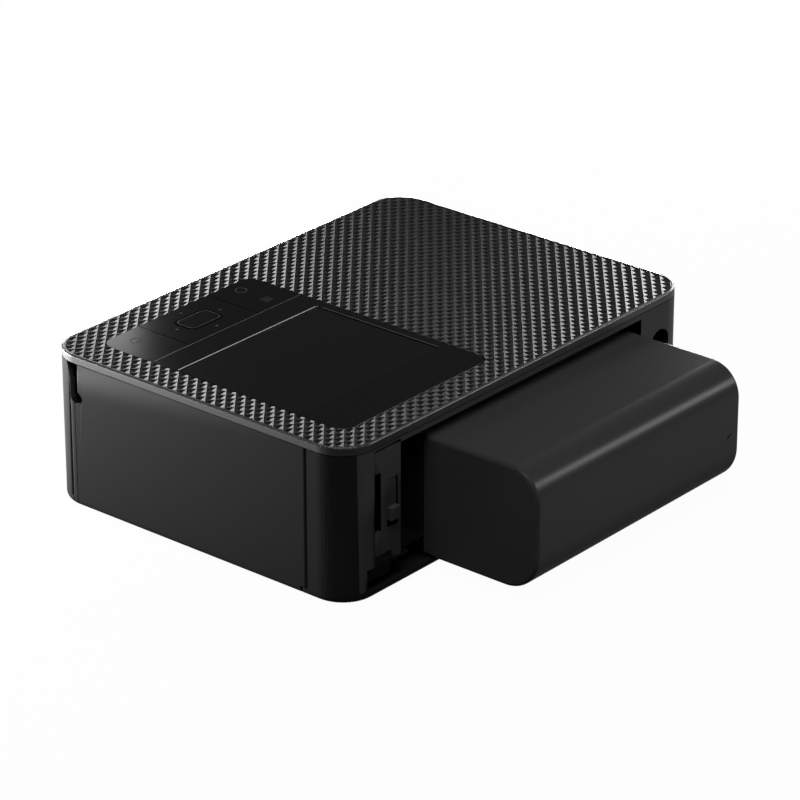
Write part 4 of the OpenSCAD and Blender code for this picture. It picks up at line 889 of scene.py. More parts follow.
@dataclass
class ControlPanel:
    """Window pane, keys, the generic marks printed on them, and painted highlights and shade on the panel's
    edges.
    """

    face: float = 57.5
    under: float = 56.0
    pane: Outline = Outline(3.15, 77.85, -30.22, 54.35, (0, 0, 5.35, 5.35))
    display: Outline = Outline(6.9, 76.7, -19.4, 35.2, (1.0, 1.0, 1.0, 1.0), 4)
    sink: float = 0.3
    chamfer: float = 0.14
    mark_height: float = 0.03
    pad: Point = (41.8, -42.3)
    key_half: Point = (7.5, 4.3)
    shade_ring_gap: float = 0.75  # the painted groove shade's outer side stands this far off the middle key
    shade_ring_width: float = 0.6
    shade_ring_r: float = 2.9
    glint_inset: float = 0.08
    glint_rise: float = 0.08
    glint_width: float = 0.14
    glint_r: float = 2.3
    sunk: float = 0.02  # how far a line lies below the pane's face
    line_width: float = 0.35
    power_at: Point = (68.5, -46.4)
    ring_at: Point = (13.8, -48.3)
    bar_x: Point = (11.8, 15.8)
    bar_rows: tuple[float, float, float] = (-37.6, -36.3, -35.0)
    bar_half: float = 0.2
    dome_base: float = 54.42

    def _pane(self) -> bpy.types.Object:
        """Build the pane with its sunk display area.

        Returns:
            The pane.
        """
        mesh = bmesh.new()
        low = Level(mesh, self.pane.points(), self.under)
        brow = Level(mesh, self.pane.points(), self.face - self.chamfer)
        top = Level(mesh, self.pane.points(self.chamfer), self.face)
        lip = Level(mesh, self.display.points(), self.face)
        bed = Level(mesh, self.display.points(self.sink), self.face - self.sink)
        cap_level(mesh, low, up=False)
        join_levels(mesh, low, brow)
        join_levels(mesh, brow, top)
        join_levels(mesh, bed, lip)
        for face in mesh.faces[-len(lip.verts):]:
            face.normal_flip()
        cap_level(mesh, bed, up=True, slot=1)
        mesh.edges.ensure_lookup_table()
        rims = [
            mesh.edges.get((ring.verts[k], ring.verts[(k + 1) % len(ring.verts)]))
            for ring in (top, lip)
            for k in range(len(ring.verts))
        ]
        made = bmesh.ops.triangle_fill(mesh, use_beauty=True, edges=rims, normal=(0, 0, 1))
        for face in (g for g in made["geom"] if isinstance(g, bmesh.types.BMFace)):
            if face.normal.z < 0:
                face.normal_flip()
        bmesh.ops.recalc_face_normals(mesh, faces=mesh.faces)
        pane = to_object(mesh, "window_pane", (GLASS_BLACK, DISPLAY_BLACK))
        soften(pane, 25)
        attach(pane, "case")
        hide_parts("lcd_window")
        return pane

    def _keys(self) -> list[bpy.types.Object]:
        """Skin the five keys with broken edges."""
        names = ("power_key", "nav_pad", "ok_key", "print_key", "menu_key")
        return [skin(name, name, (KEY_BLACK,), edge_mm=0.06) for name in names]

    def _mark(
        self, name: str, body: str, loops: Iterable[Sequence[Point]], level: float, finish: Finish = MARK_GREY
    ) -> bpy.types.Object:
        """Raise flat shapes off a key or the case as one mark: print, painted highlight or painted shade.

        Args:
            name: The piece's name.
            body: The key that it rides on.
            loops: Closed shapes, anticlockwise.
            level: Height of the face under the mark.
            finish: Finish of the mark.

        Returns:
            The mark.
        """
        mesh = bmesh.new()
        for loop in loops:
            low = Level(mesh, loop, level - self.mark_height)
            top = Level(mesh, loop, level + self.mark_height)
            join_levels(mesh, low, top)
            cap_level(mesh, top, up=True)
            cap_level(mesh, low, up=False)
        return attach(to_object(mesh, name, (finish,)), body)

    @staticmethod
    def _bar(left: float, right: float, front: float, rear: float) -> list[Point]:
        """Return a plain rectangle's corners, anticlockwise."""
        return [(left, front), (right, front), (right, rear), (left, rear)]

    def _highlights_and_shade(self) -> list[bpy.types.Object]:
        """Lay painted highlights along the pane's edges and round the middle key, and a ring of painted shade
        round that key.

        Returns:
            The painted highlights and the shade ring.
        """
        half_x, half_y = self.key_half
        gap, inset = self.shade_ring_gap, self.glint_inset
        # The ring round the middle key is a flat near-black band: painted shade of the gap round it.
        groove = self._ring(half_x + gap, half_y + gap, self.shade_ring_r, self.shade_ring_width)
        glint = self._ring(half_x - inset, half_y - inset, self.glint_r, self.glint_width)
        front, rear = self.display.front, self.display.rear
        low = self.face - self.sunk
        # Thin light strips along the display's and pane's edges: painted highlights.
        bars = (
            ("display_front_edge", (8.0, 76.9, front - 0.05, front + 0.45), self.face, HIGHLIGHT_GREY),
            ("display_side_edge", (6.95, 7.2, front + 2.0, rear - 0.6), self.face, DIM_HIGHLIGHT_GREY),
            ("pane_rear_edge", (8.6, 72.4, 54.1, 54.33), low, DIM_HIGHLIGHT_GREY),
            ("pane_front_edge", (3.4, 77.6, -30.2, -30.0), low, DIM_HIGHLIGHT_GREY),
        )
        return [
            *(
                self._mark(name, "case", [self._bar(*sides)], level, finish)
                for name, sides, level, finish in bars
            ),
            self._mark("key_groove", "nav_pad", groove, low, PAINTED_SHADE_BLACK),
            self._mark("key_glint", "ok_key", glint, self.face + self.glint_rise, DIM_HIGHLIGHT_GREY),
        ]

    def _ring(self, half_x: float, half_y: float, radius: float, width: float) -> list[list[Point]]:
        """Cut a rounded frame round the middle key into four-sided pieces.

        Args:
            half_x: Half its outer width.
            half_y: Half its outer length.
            radius: Radius of its outer corners.
            width: Width of its line.

        Returns:
            The pieces, anticlockwise.
        """
        x, y = self.pad
        frame = Outline(x - half_x, x + half_x, y - half_y, y + half_y, (radius,) * 4)
        outer, inner = frame.points(), frame.points(width)
        turns = [(k, (k + 1) % len(outer)) for k in range(len(outer))]
        return [[inner[k], outer[k], outer[n], inner[n]] for k, n in turns]

    @staticmethod
    def _arc(
        at: Point, radius: float, width: float, start: float, end: float, steps: int = 24
    ) -> list[list[Point]]:
        """Cut a ring or an arc into four-sided pieces.

        Args:
            at: The arc's centre.
            radius: Middle radius.
            width: Width of the line.
            start: First angle in degrees.
            end: Last angle in degrees.
            steps: How many pieces.

        Returns:
            The pieces, anticlockwise.
        """

        def on(r: float, degrees: float) -> Point:
            """Return a point on a circle round the centre."""
            return at[0] + r * math.cos(math.radians(degrees)), at[1] + r * math.sin(math.radians(degrees))

        inner, outer = radius - width / 2, radius + width / 2
        turn = (end - start) / steps
        return [
            [on(inner, a), on(outer, a), on(outer, a + turn), on(inner, a + turn)]
            for a in (start + turn * k for k in range(steps))
        ]

    def _marks(self) -> list[bpy.types.Object]:
        """Print the arrows, the ring, the bars and the stroked circle.

        Returns:
            The marks.
        """
        x, y = self.pad
        wide, long, half = 10.6, 8.0, 0.75
        arrows = [
            [(x + wide, y - half), (x + wide + 1.0, y), (x + wide, y + half)],
            [(x - wide, y + half), (x - wide - 1.0, y), (x - wide, y - half)],
            [(x + half, y + long), (x, y + long + 1.0), (x - half, y + long)],
            [(x - half, y - long), (x, y - long - 1.0), (x + half, y - long)],
        ]
        stroke = self._bar(68.2, 68.8, -46.0, -43.2)
        power = [*self._arc(self.power_at, 1.9, self.line_width, 120, 420), stroke]
        ring = self._arc(self.ring_at, 2.0, self.line_width, 0, 360)
        bars = [self._bar(*self.bar_x, row - self.bar_half, row + self.bar_half) for row in self.bar_rows]
        return [
            self._mark("arrow_marks", "nav_pad", arrows, self.face),
            self._mark("power_mark", "power_key", power, self.face),
            self._mark("ring_mark", "print_key", ring, self.face),
            self._mark("bars_mark", "menu_key", bars, self.face),
        ]

    def build(self) -> list[bpy.types.Object]:
        """Make every piece of the panel.

        Returns:
            The panel's pieces.
        """
        def board_zone(middle: Vector, _: Vector) -> int:
            """Pick the domes over the board."""
            return 1 if middle.z > self.dome_base else 0

        base = skin("control_panel", "case", (INNER_BLACK,))
        board = skin("key_board", "case", (BOARD, GOLD), board_zone)
        module = skin("lcd_module", "case", (CHIP,))
        return [self._pane(), base, board, module, *self._keys(), *self._marks(), *self._highlights_and_shade()]


# ----------------------------------------------------------------- small parts


@dataclass(frozen=True)
class Screw:
    """A pan-head screw with a cross recess, its head looking up."""

    radius: float = 1.7
    height: float = 0.9
    cross: float = 1.05
    slot: float = 0.36
    depth: float = 0.5

    def build(self, name: str) -> bpy.types.Object:
        """Make one screw head at the origin.

        Args:
            name: The shape's name.

        Returns:
            The shape.
        """
        c, s = self.cross, self.slot / 2
        plus = [
            (c, s), (s, s), (s, c), (-s, c), (-s, s), (-c, s),
            (-c, -s), (-s, -s), (-s, -c), (s, -c), (s, -s), (c, -s),
        ]
        turns = [math.tau * k / 24 for k in range(24)]
        rim = [(self.radius * math.cos(turn), self.radius * math.sin(turn)) for turn in turns]
        mesh = bmesh.new()

        def ring(loop: Sequence[Point], z: float, scale: float = 1.0) -> list[bmesh.types.BMVert]:
            """Add one ring of vertices from millimetres."""
            return [mesh.verts.new(Vector((x * scale, y * scale, z)) * MM) for x, y in loop]

        def band(low: list[bmesh.types.BMVert], high: list[bmesh.types.BMVert]) -> None:
            """Close the band between two rings."""
            for k in range(len(low)):
                n = (k + 1) % len(low)
                mesh.faces.new((low[k], low[n], high[n], high[k]))

        base, brow = ring(rim, 0.0), ring(rim, self.height * 0.6)
        crown = ring(rim, self.height, 0.8)
        mouth, pit = ring(plus, self.height), ring(plus, self.height - self.depth, 0.9)
        band(base, brow)
        band(brow, crown)
        band(mouth, pit)
        mesh.faces.new(pit)
        edges = [mesh.edges.get((r[k], r[(k + 1) % len(r)])) for r in (crown, mouth) for k in range(len(r))]
        bmesh.ops.triangle_fill(mesh, use_beauty=True, edges=edges, normal=(0, 0, 1))
        bmesh.ops.recalc_face_normals(mesh, faces=mesh.faces)
        return to_object(mesh, name, ())


def brick(name: str, size: tuple[float, float, float], edge: float) -> bpy.types.Object:
    """Make a small block with broken edges, standing on the origin.

    Args:
        name: The shape's name.
        size: Millimetres across x, y and z.
        edge: Width of the broken edges.

    Returns:
        The shape.
    """
    mesh = bmesh.new()
    bmesh.ops.create_cube(mesh, size=1.0)
    for vert in mesh.verts:
        vert.co = Vector((vert.co.x * size[0], vert.co.y * size[1], (vert.co.z + 0.5) * size[2])) * MM
    bmesh.ops.bevel(mesh, geom=mesh.edges[:], offset=edge * MM, segments=1, affect="EDGES", profile=0.5)
    return to_object(mesh, name, ())


# ------------------------------------------------------------------------ case


@dataclass
class Case:
    """Shell, cover, floor and feet."""

    floor_screws: Sequence[Point] = ((-61.92, -24.0), (61.92, -24.0), (-61.92, 24.0), (61.92, 24.0))
    under_plate: float = 3.6
    # A near-black band just under the cover's rim: painted shadow of the thin gap there.
    seam_shade: Outline = Outline(-91.12, 91.12, -66.52, 66.52, (12.62, 12.62, 12.62, 12.62), 12)
    seam_shade_z: tuple[float, float] = (54.71, 54.94)
    brim: Outline = Outline(-90.6, 90.6, -66.0, 66.0, (12.1, 12.1, 12.1, 12.1))
    facet_angle: float = 3.0  # the base frame's facets all stay flat
    brim_low: float = 57.55
    brim_edge: float = 0.4

    def build(self) -> list[bpy.types.Object]:
        """Make the case's pieces.

        Returns:
            The pieces.
        """
        def brim(first: Vector, last: Vector) -> bool:
            """Pick the outer top edge of the cover's rim; its rounding takes a painted highlight."""
            return all(v.z > self.brim_low and not self.brim.holds(v.x, v.y) for v in (first, last))

        def lit_rear_zone(_: Vector, normal: Vector) -> int:
            """Pick the faces that look to the rear; they take the lighter plate plastic as painted light."""
            return 1 if normal.y > 0.9 else 0

        def wall_zone(middle: Vector, normal: Vector) -> int:
            """Pick the outer wall of the cover's rim, which takes a darker copy of the cover plastic as
            painted shade.
            """
            return 1 if abs(normal.z) < 0.3 and not self.brim.holds(middle.x, middle.y) else 0

        pieces = [
            skin("body_shell", "case", (CASE_BLACK, PLATE_AND_REAR_LIGHT), lit_rear_zone),
            skin("base_frame", "case", (CASE_BLACK,), hard=self.facet_angle),
            # The rim's outer wall takes the darker copy of the cover plastic as painted shade.
            skin(
                "top_cover", "case", (COVER_BLACK, RIM_WALL_SHADE, RIM_HIGHLIGHT), wall_zone,
                # The rounded top edge of the rim takes the painted highlight in slot 2.
                edge_mm=self.brim_edge, rim=brim, rim_slot=2,
            ),
            skin("bottom_plate", "case", (INNER_BLACK,)),
            skin("feet", "case", (RUBBER,), edge_mm=0.3),
            ReliefField().build(),
        ]
        # The band under the rim is painted shadow of the seam's gap.
        mesh = bmesh.new()
        seam_shade = [Level(mesh, self.seam_shade.points(), z) for z in self.seam_shade_z]
        join_levels(mesh, *seam_shade)
        pieces.append(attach(to_object(mesh, "rim_seam", (PAINTED_SHADE_BLACK,)), "case"))
        spots = [place(x, y, self.under_plate) for x, y in self.floor_screws]
        screws = scatter_on(
            "floor_screws", Screw().build("floor_screw"), spots, STEEL, turn=Vector((math.pi, 0, 0))
        )
        return [*pieces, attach(screws, "case")]


@dataclass
class Doors:
    """Ink door at the side and paper flap at the front."""

    def build(self) -> list[bpy.types.Object]:
        """Make both doors."""
        return [
            skin("ink_door", "ink_door", (CASE_BLACK,)),
            skin("front_flap", "front_flap", (CASE_BLACK,)),
        ]


# ------------------------------------------------------------------------ rear


@dataclass
class RearFace:
    """Battery bay, release slide and power inlet."""

    slide_x: float = 68.6
    grip_low: float = 27.6
    grip_pitch: float = 0.9
    grip_count: int = 4
    knob_y: float = 68.1
    jack_at: Point = (-74.7, 40.3)
    pin_r: float = 0.9
    blade_y: float = 51.0
    slot_left: float = 74.1
    slot_z: Point = (25.0, 46.2)
    slot_y: float = 66.2
    window_x: Point = (64.5, 72.0)
    window_z: Point = (24.0, 44.0)

    def _grips(self) -> bpy.types.Object:
        """Set small ridges across the slide's knob.

        Returns:
            The ridges.
        """
        shape = brick("ridge", (3.9, 0.24, 0.34), 0.08)
        levels = [self.grip_low + self.grip_pitch * k for k in range(self.grip_count)]
        spots = [place(self.slide_x, self.knob_y, z) for z in levels]
        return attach(scatter_on("knob_ridges", shape, spots, PLATE_AND_REAR_LIGHT), "release")

    def build(self) -> list[bpy.types.Object]:
        """Make the rear pieces.

        Returns:
            The pieces.
        """
        def jack_zone(middle: Vector, _: Vector) -> int:
            """Pick the jack's centre pin."""
            return 1 if math.hypot(middle.x - self.jack_at[0], middle.z - self.jack_at[1]) < self.pin_r else 0

        def contact_zone(middle: Vector, _: Vector) -> int:
            """Pick the contact blades in front of their block."""
            return 1 if middle.y > self.blade_y else 0

        def plate_shade_zone(middle: Vector, normal: Vector) -> int:
            """Pick the slot beside the slide and the walls of its window, which take painted shade.

            Args:
                middle: The face's middle.
                normal: The face's direction.

            Returns:
                The finish's slot.
            """
            (x0, x1), (z0, z1), (z2, z3) = self.window_x, self.window_z, self.slot_z
            sunk = middle.x > self.slot_left and z2 < middle.z < z3 and middle.y < self.slot_y
            wall = abs(normal.y) < 0.5 and x0 < middle.x < x1 and z0 < middle.z < z1
            return 1 if sunk or wall else 0

        return [
            skin("bay_housing", "case", (INNER_BLACK,)),
            # The slot and the window's walls are painted near-black as shade.
            skin("rear_plate", "case", (PLATE_AND_REAR_LIGHT, PAINTED_SHADE_BLACK), plate_shade_zone),
            skin("release_slider", "release", (PLATE_AND_REAR_LIGHT,), edge_mm=0.2),
            dress("latch_bar", GREY_NYLON),
            skin("bay_contacts", "case", (INNER_BLACK, GOLD), contact_zone),
            skin("dc_jack", "case", (INNER_BLACK, STEEL), jack_zone),
            self._grips(),
        ]


# --------------------------------------------------------------------- battery


@dataclass
class BatteryPack:
    """Rounded shell over two cells, with its base and the painted shade of its joint and its slit."""

    back_y: float = 110.5
    slit: tuple[Point, Point] = ((-54.4, 24.1), (-56.7, 25.4))
    slit_width: float = 0.45
    joint_y: float = 63.15
    chip_base: float = 15.45

    def _slit_shade(self) -> bpy.types.Object:
        """Lay a narrow near-black mark on the pack's outer face: painted shade of a slit.

        Returns:
            The mark.
        """
        (ax, az), (bx, bz) = self.slit
        along = Vector((bx - ax, bz - az)).normalized() * self.slit_width / 2
        mesh = bmesh.new()
        outer = [
            (ax - along.y, az + along.x), (ax + along.y, az - along.x),
            (bx + along.y, bz - along.x), (bx - along.y, bz + along.x),
        ]
        rings = [
            [mesh.verts.new(place(px, self.back_y + y, pz)) for px, pz in outer] for y in (-0.1, 0.02)
        ]
        for k in range(4):
            n = (k + 1) % 4
            mesh.faces.new((rings[0][k], rings[0][n], rings[1][n], rings[1][k]))
        mesh.faces.new(rings[1])
        mesh.faces.new(list(reversed(rings[0])))
        bmesh.ops.recalc_face_normals(mesh, faces=mesh.faces)
        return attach(to_object(mesh, "pack_slit", (PAINTED_SHADE_BLACK,)), "battery_pack")

    def build(self) -> list[bpy.types.Object]:
        """Make the pack's pieces.

        Returns:
            The pieces.
        """
        def board_zone(middle: Vector, _: Vector) -> int:
            """Pick the parts that stand on the board."""
            return 1 if middle.z > self.chip_base else 0

        def joint_shade_zone(middle: Vector, _: Vector) -> int:
            """Pick the strip beside the shell that is painted near-black as the groove's shade."""
            return 1 if middle.y > self.joint_y - self.slit_width else 0

        # Faces are parted here so that the strip of painted shade can be told apart.
        joint = (place(0, self.joint_y - self.slit_width, 0), Vector((0, 1, 0)))

        def cell_zone(_: Vector, normal: Vector) -> int:
            """Pick the bare ends of the cells."""
            return 1 if abs(normal.x) > 0.9 else 0

        return [
            skin("battery_shell", "battery_pack", (PACK_BLACK,)),
            skin("battery_base", "battery_pack", (CASE_BLACK, PAINTED_SHADE_BLACK), joint_shade_zone, cut=joint),
            skin("battery_cells", "battery_pack", (CELL_WRAP, STEEL), cell_zone, edge_mm=0.6),
            skin("battery_board", "battery_pack", (BOARD, CHIP), board_zone),
            self._slit_shade(),
        ]


# ------------------------------------------------------------------- mechanism


@dataclass
class Chassis:
    """Steel plates, the paper's path and the boards."""

    board_top: float = 47.8
    board_field: tuple[float, float, float, float] = (-18.0, 62.0, -42.0, 34.0)
    part_count: int = 90
    part_size: tuple[float, float, float] = (2.0, 1.2, 0.7)
    seed: int = 7
    chip_base: float = 47.85
    tongue_at: Point = (-66.0, 21.6)
    tongue_half: Point = (3.45, 0.45)
    axle_left: float = -43.3
    axle_low: float = 6.2

    def _parts(self) -> bpy.types.Object:
        """Strew small components over the main board.

        Returns:
            The components in one mesh.
        """
        recipe = Recipe("parts_recipe")
        x0, x1, y0, y1 = self.board_field
        middle = recipe.ask("Middle", "Vector", tuple(place((x0 + x1) / 2, (y0 + y1) / 2, self.board_top)))
        count = recipe.ask("Density", "Float", self.part_count / ((x1 - x0) * (y1 - y0) * MM * MM))
        material = recipe.ask("Material", "Material", CHIP.material())
        graph = recipe.graph
        sheet = graph.add("GeometryNodeMeshGrid", None, Size_X=(x1 - x0) * MM, Size_Y=(y1 - y0) * MM)
        spots = graph.add(
            "GeometryNodeDistributePointsOnFaces",
            None,
            Mesh=sheet.outputs["Mesh"],
            Density=count,
            Seed=self.seed,
        )
        block = graph.add("GeometryNodeMeshCube", None, Size=Vector(self.part_size) * MM)
        copies = graph.add(
            "GeometryNodeInstanceOnPoints",
            None,
            Points=spots.outputs["Points"],
            Instance=block.outputs["Mesh"],
        )
        moved = graph.add(
            "GeometryNodeTransform", None, Geometry=copies.outputs["Instances"], Translation=middle
        )
        recipe.finish(moved.outputs["Geometry"], material)
        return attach(recipe.run("board_parts"), "case")

    def build(self) -> list[bpy.types.Object]:
        """Make the chassis pieces.

        Returns:
            The pieces.
        """
        def chip_zone(middle: Vector, _: Vector) -> int:
            """Pick the chips on the main board."""
            return 1 if middle.z > self.chip_base else 0

        def port_zone(middle: Vector, _: Vector) -> int:
            """Pick the tongue inside the cable socket."""
            (x, z), (half_x, half_z) = self.tongue_at, self.tongue_half
            return 1 if abs(middle.z - z) < half_z and abs(middle.x - x) < half_x else 0

        def axle_zone(middle: Vector, _: Vector) -> int:
            """Pick the fixed axles on the left plate."""
            return 1 if middle.x < self.axle_left and middle.z > self.axle_low else 0

        flat = (
            ("right_plate", STEEL), ("io_board", BOARD), ("card_socket", STEEL), ("paper_guide", INNER_BLACK),
            ("cassette_guide", INNER_BLACK), ("paper_chute", INNER_BLACK),
        )
        return [
            *(dress(node, finish) for node, finish in flat),
            skin("left_plate", "case", (STEEL, SHAFT_STEEL), axle_zone),
            skin("top_beam", "case", (STEEL,)),
            skin("motor_bracket", "case", (ZINC,)),
            skin("usb_socket", "case", (STEEL, CHIP), port_zone),
            skin("main_board", "case", (BOARD, CHIP), chip_zone),
            self._parts(),
        ]


@dataclass
class Rollers:
    """Grip, pinch, platen and pick-up rollers."""

    gear_left: float = -54.2
    gear_right: float = -50.8
    shaft_r: float = 2.3
    grip_at: Point = (-23.0, 10.0)
    pinch_at: Point = (-23.0, 18.6)
    platen_at: Point = (13.5, 9.9)
    pickup_at: Point = (-40.807, 33.75)

    def _zone(self, at: Point) -> Painter:
        """Make the painter for a roller whose axis runs along x.

        Args:
            at: The axis, as y and z.

        Returns:
            A painter with slots for the shaft, the roller and the gear.
        """
        def paint(middle: Vector, _: Vector) -> int:
            """Pick the shaft, the roller or the gear.

            Args:
                middle: The face's middle.
                _: The face's direction.

            Returns:
                The finish's slot.
            """
            radius = math.hypot(middle.y - at[0], middle.z - at[1])
            if self.gear_left < middle.x < self.gear_right and radius > self.shaft_r - 0.6:
                return 2
            return 1 if radius > self.shaft_r else 0

        return paint

    def build(self) -> list[bpy.types.Object]:
        """Make the rollers.

        Returns:
            The pieces.
        """
        return [
            skin(name, name, (SHAFT_STEEL, cover, NYLON), self._zone(at))
            for name, cover, at in (
                ("grip_roller", SHAFT_STEEL, self.grip_at),
                ("pinch_roller", ROLLER_RUBBER, self.pinch_at),
                ("platen_roller", ROLLER_RUBBER, self.platen_at),
                ("pickup_roller", ROLLER_RUBBER, self.pickup_at),
            )
        ]


@dataclass
class PrintHead:
    """Head bar, heat sink, carriage and the screw that lifts them."""

    screw: Point = (-47.1, 13.5)
    thread: tuple[float, float] = (25.0, 44.0)
    pitch: float = 1.0
    core: float = 1.28
    crest: float = 1.6
    gear_base: float = 44.2
    gear_bore: float = 1.7
    glaze_top: float = 26.75

    def _thread(self) -> bpy.types.Object:
        """Wind a thread round the lead screw with a tree.

        Returns:
            The thread.
        """
        low, high = self.thread
        recipe = Recipe("thread_recipe")
        turns = recipe.ask("Turns", "Float", (high - low) / self.pitch)
        length = recipe.ask("Length", "Float", (high - low) * MM)
        middle = recipe.ask("Middle", "Vector", tuple(place(*self.screw, low)))
        material = recipe.ask("Material", "Material", SHAFT_STEEL.material())
        graph = recipe.graph
        mean = (self.core + self.crest) / 2
        half = (self.crest - self.core) / 2
        coil = graph.add("GeometryNodeCurveSpiral", None, Resolution=16, Rotations=turns, Height=length)
        coil.inputs["Start Radius"].default_value = mean * MM
        coil.inputs["End Radius"].default_value = mean * MM
        ridge = graph.add("GeometryNodeCurvePrimitiveCircle", None, Resolution=4, Radius=half * MM)
        tube = graph.add(
            "GeometryNodeCurveToMesh", None, Curve=coil.outputs["Curve"], Profile_Curve=ridge.outputs["Curve"]
        )
        moved = graph.add("GeometryNodeTransform", None, Geometry=tube.outputs["Mesh"], Translation=middle)
        recipe.finish(moved.outputs["Geometry"], material)
        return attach(recipe.run("screw_thread"), "lead_screw")

    def build(self) -> list[bpy.types.Object]:
        """Make the head and its lift.

        Returns:
            The pieces.
        """
        x, y = self.screw

        def screw_zone(middle: Vector, _: Vector) -> int:
            """Pick the gear on the screw."""
            reach = math.hypot(middle.x - x, middle.y - y)
            return 1 if middle.z > self.gear_base and reach > self.gear_bore else 0

        def pinion_zone(middle: Vector, _: Vector) -> int:
            """Pick the pinion on the motor's shaft."""
            return 1 if middle.z > self.gear_base else 0

        def bar_zone(middle: Vector, _: Vector) -> int:
            """Pick the glazed heater line."""
            return 1 if middle.z < self.glaze_top else 0

        screw = skin("lead_screw", "lead_screw", (SHAFT_STEEL, NYLON), screw_zone)
        for vert in screw.data.vertices:
            spot = unplace(vert.co)
            away = Vector((spot.x - x, spot.y - y))
            if abs(away.length - self.crest) < 0.02 and spot.z < self.thread[1]:
                away *= self.core / away.length
                vert.co = place(x + away.x, y + away.y, spot.z)
        return [
            screw,
            self._thread(),
            skin("lift_pinion", "lift_pinion", (SHAFT_STEEL, NYLON), pinion_zone),
            skin("head_bar", "head", (GREY_NYLON, HEAD_GLAZE), bar_zone),
            dress("heat_sink", ALUMINIUM),
            skin("head_carriage", "head", (STEEL,)),
        ]


@dataclass
class Drive:
    """Motors and the train of gears that feeds the paper."""

    gear_left: float = -54.1
    gear_right: float = -50.9

    def build(self) -> list[bpy.types.Object]:
        """Make the drive's pieces.

        Returns:
            The pieces.
        """
        def shaft_zone(middle: Vector, _: Vector) -> int:
            """Pick what lies left of the gear's face."""
            return 1 if middle.x < self.gear_left else 0

        def dog_zone(middle: Vector, _: Vector) -> int:
            """Pick the shaft between the gear and the spool."""
            return 1 if middle.x > self.gear_right else 0

        return [
            skin("feed_motor", "case", (ZINC,)),
            skin("lift_motor", "case", (ZINC,)),
            skin("feed_pinion", "feed_pinion", (NYLON, SHAFT_STEEL), shaft_zone),
            skin("idler_gear", "idler_gear", (NYLON,)),
            skin("transfer_gear", "transfer_gear", (NYLON,)),
            skin("takeup_drive", "takeup_drive", (NYLON, GREY_NYLON), dog_zone),
        ]


@dataclass
class InkCassette:
    """Cassette with its two spools and the film between them."""

    def build(self) -> list[bpy.types.Object]:
        """Make the cassette's pieces.

        Returns:
            The pieces.
        """
        return [
            skin("cassette_case", "ink_cassette", (CASSETTE,)),
            dress("ribbon_web", WEB_FILM),
            skin("supply_spool", "supply_spool", (NYLON,)),
            skin("supply_roll", "supply_spool", (DYE_FILM,)),
            skin("takeup_spool", "takeup_spool", (NYLON,)),
            skin("takeup_roll", "takeup_spool", (USED_FILM,)),
        ]


@dataclass
class Fan:
    """Cooling fan behind the left wall."""

    def build(self) -> list[bpy.types.Object]:
        """Make the fan's frame and rotor."""
        return [skin("fan_frame", "case", (CHIP,)), skin("fan_rotor", "fan_rotor", (INNER_BLACK,))]


# ----------------------------------------------------------------------- studio


AIM = Vector((0.0, 0.0, 0.03))  # where the lamps point, in metres


@dataclass
class Softbox:
    """A rectangular lamp aimed at the printer, placed by its bearing."""

    name: str
    bearing: float
    rise: float
    distance: float
    size: tuple[float, float]
    watts: float

    def build(self) -> bpy.types.Object:
        """Hang the lamp.

        Returns:
            The lamp.
        """
        light = bpy.data.lights.new(self.name, "AREA")
        light.shape = "RECTANGLE"
        light.size, light.size_y = self.size
        light.energy = self.watts
        lamp = bpy.data.objects.new(self.name, light)
        bearing, rise = math.radians(self.bearing), math.radians(self.rise)
        flat = self.distance * math.cos(rise)
        up = self.distance * math.sin(rise) + AIM.z
        lamp.location = (flat * math.cos(bearing), flat * math.sin(bearing), up)
        lamp.visible_camera = False
        lamp.rotation_euler = (AIM - lamp.location).to_track_quat("-Z", "Y").to_euler()
        bpy.context.scene.collection.objects.link(lamp)
        return lamp


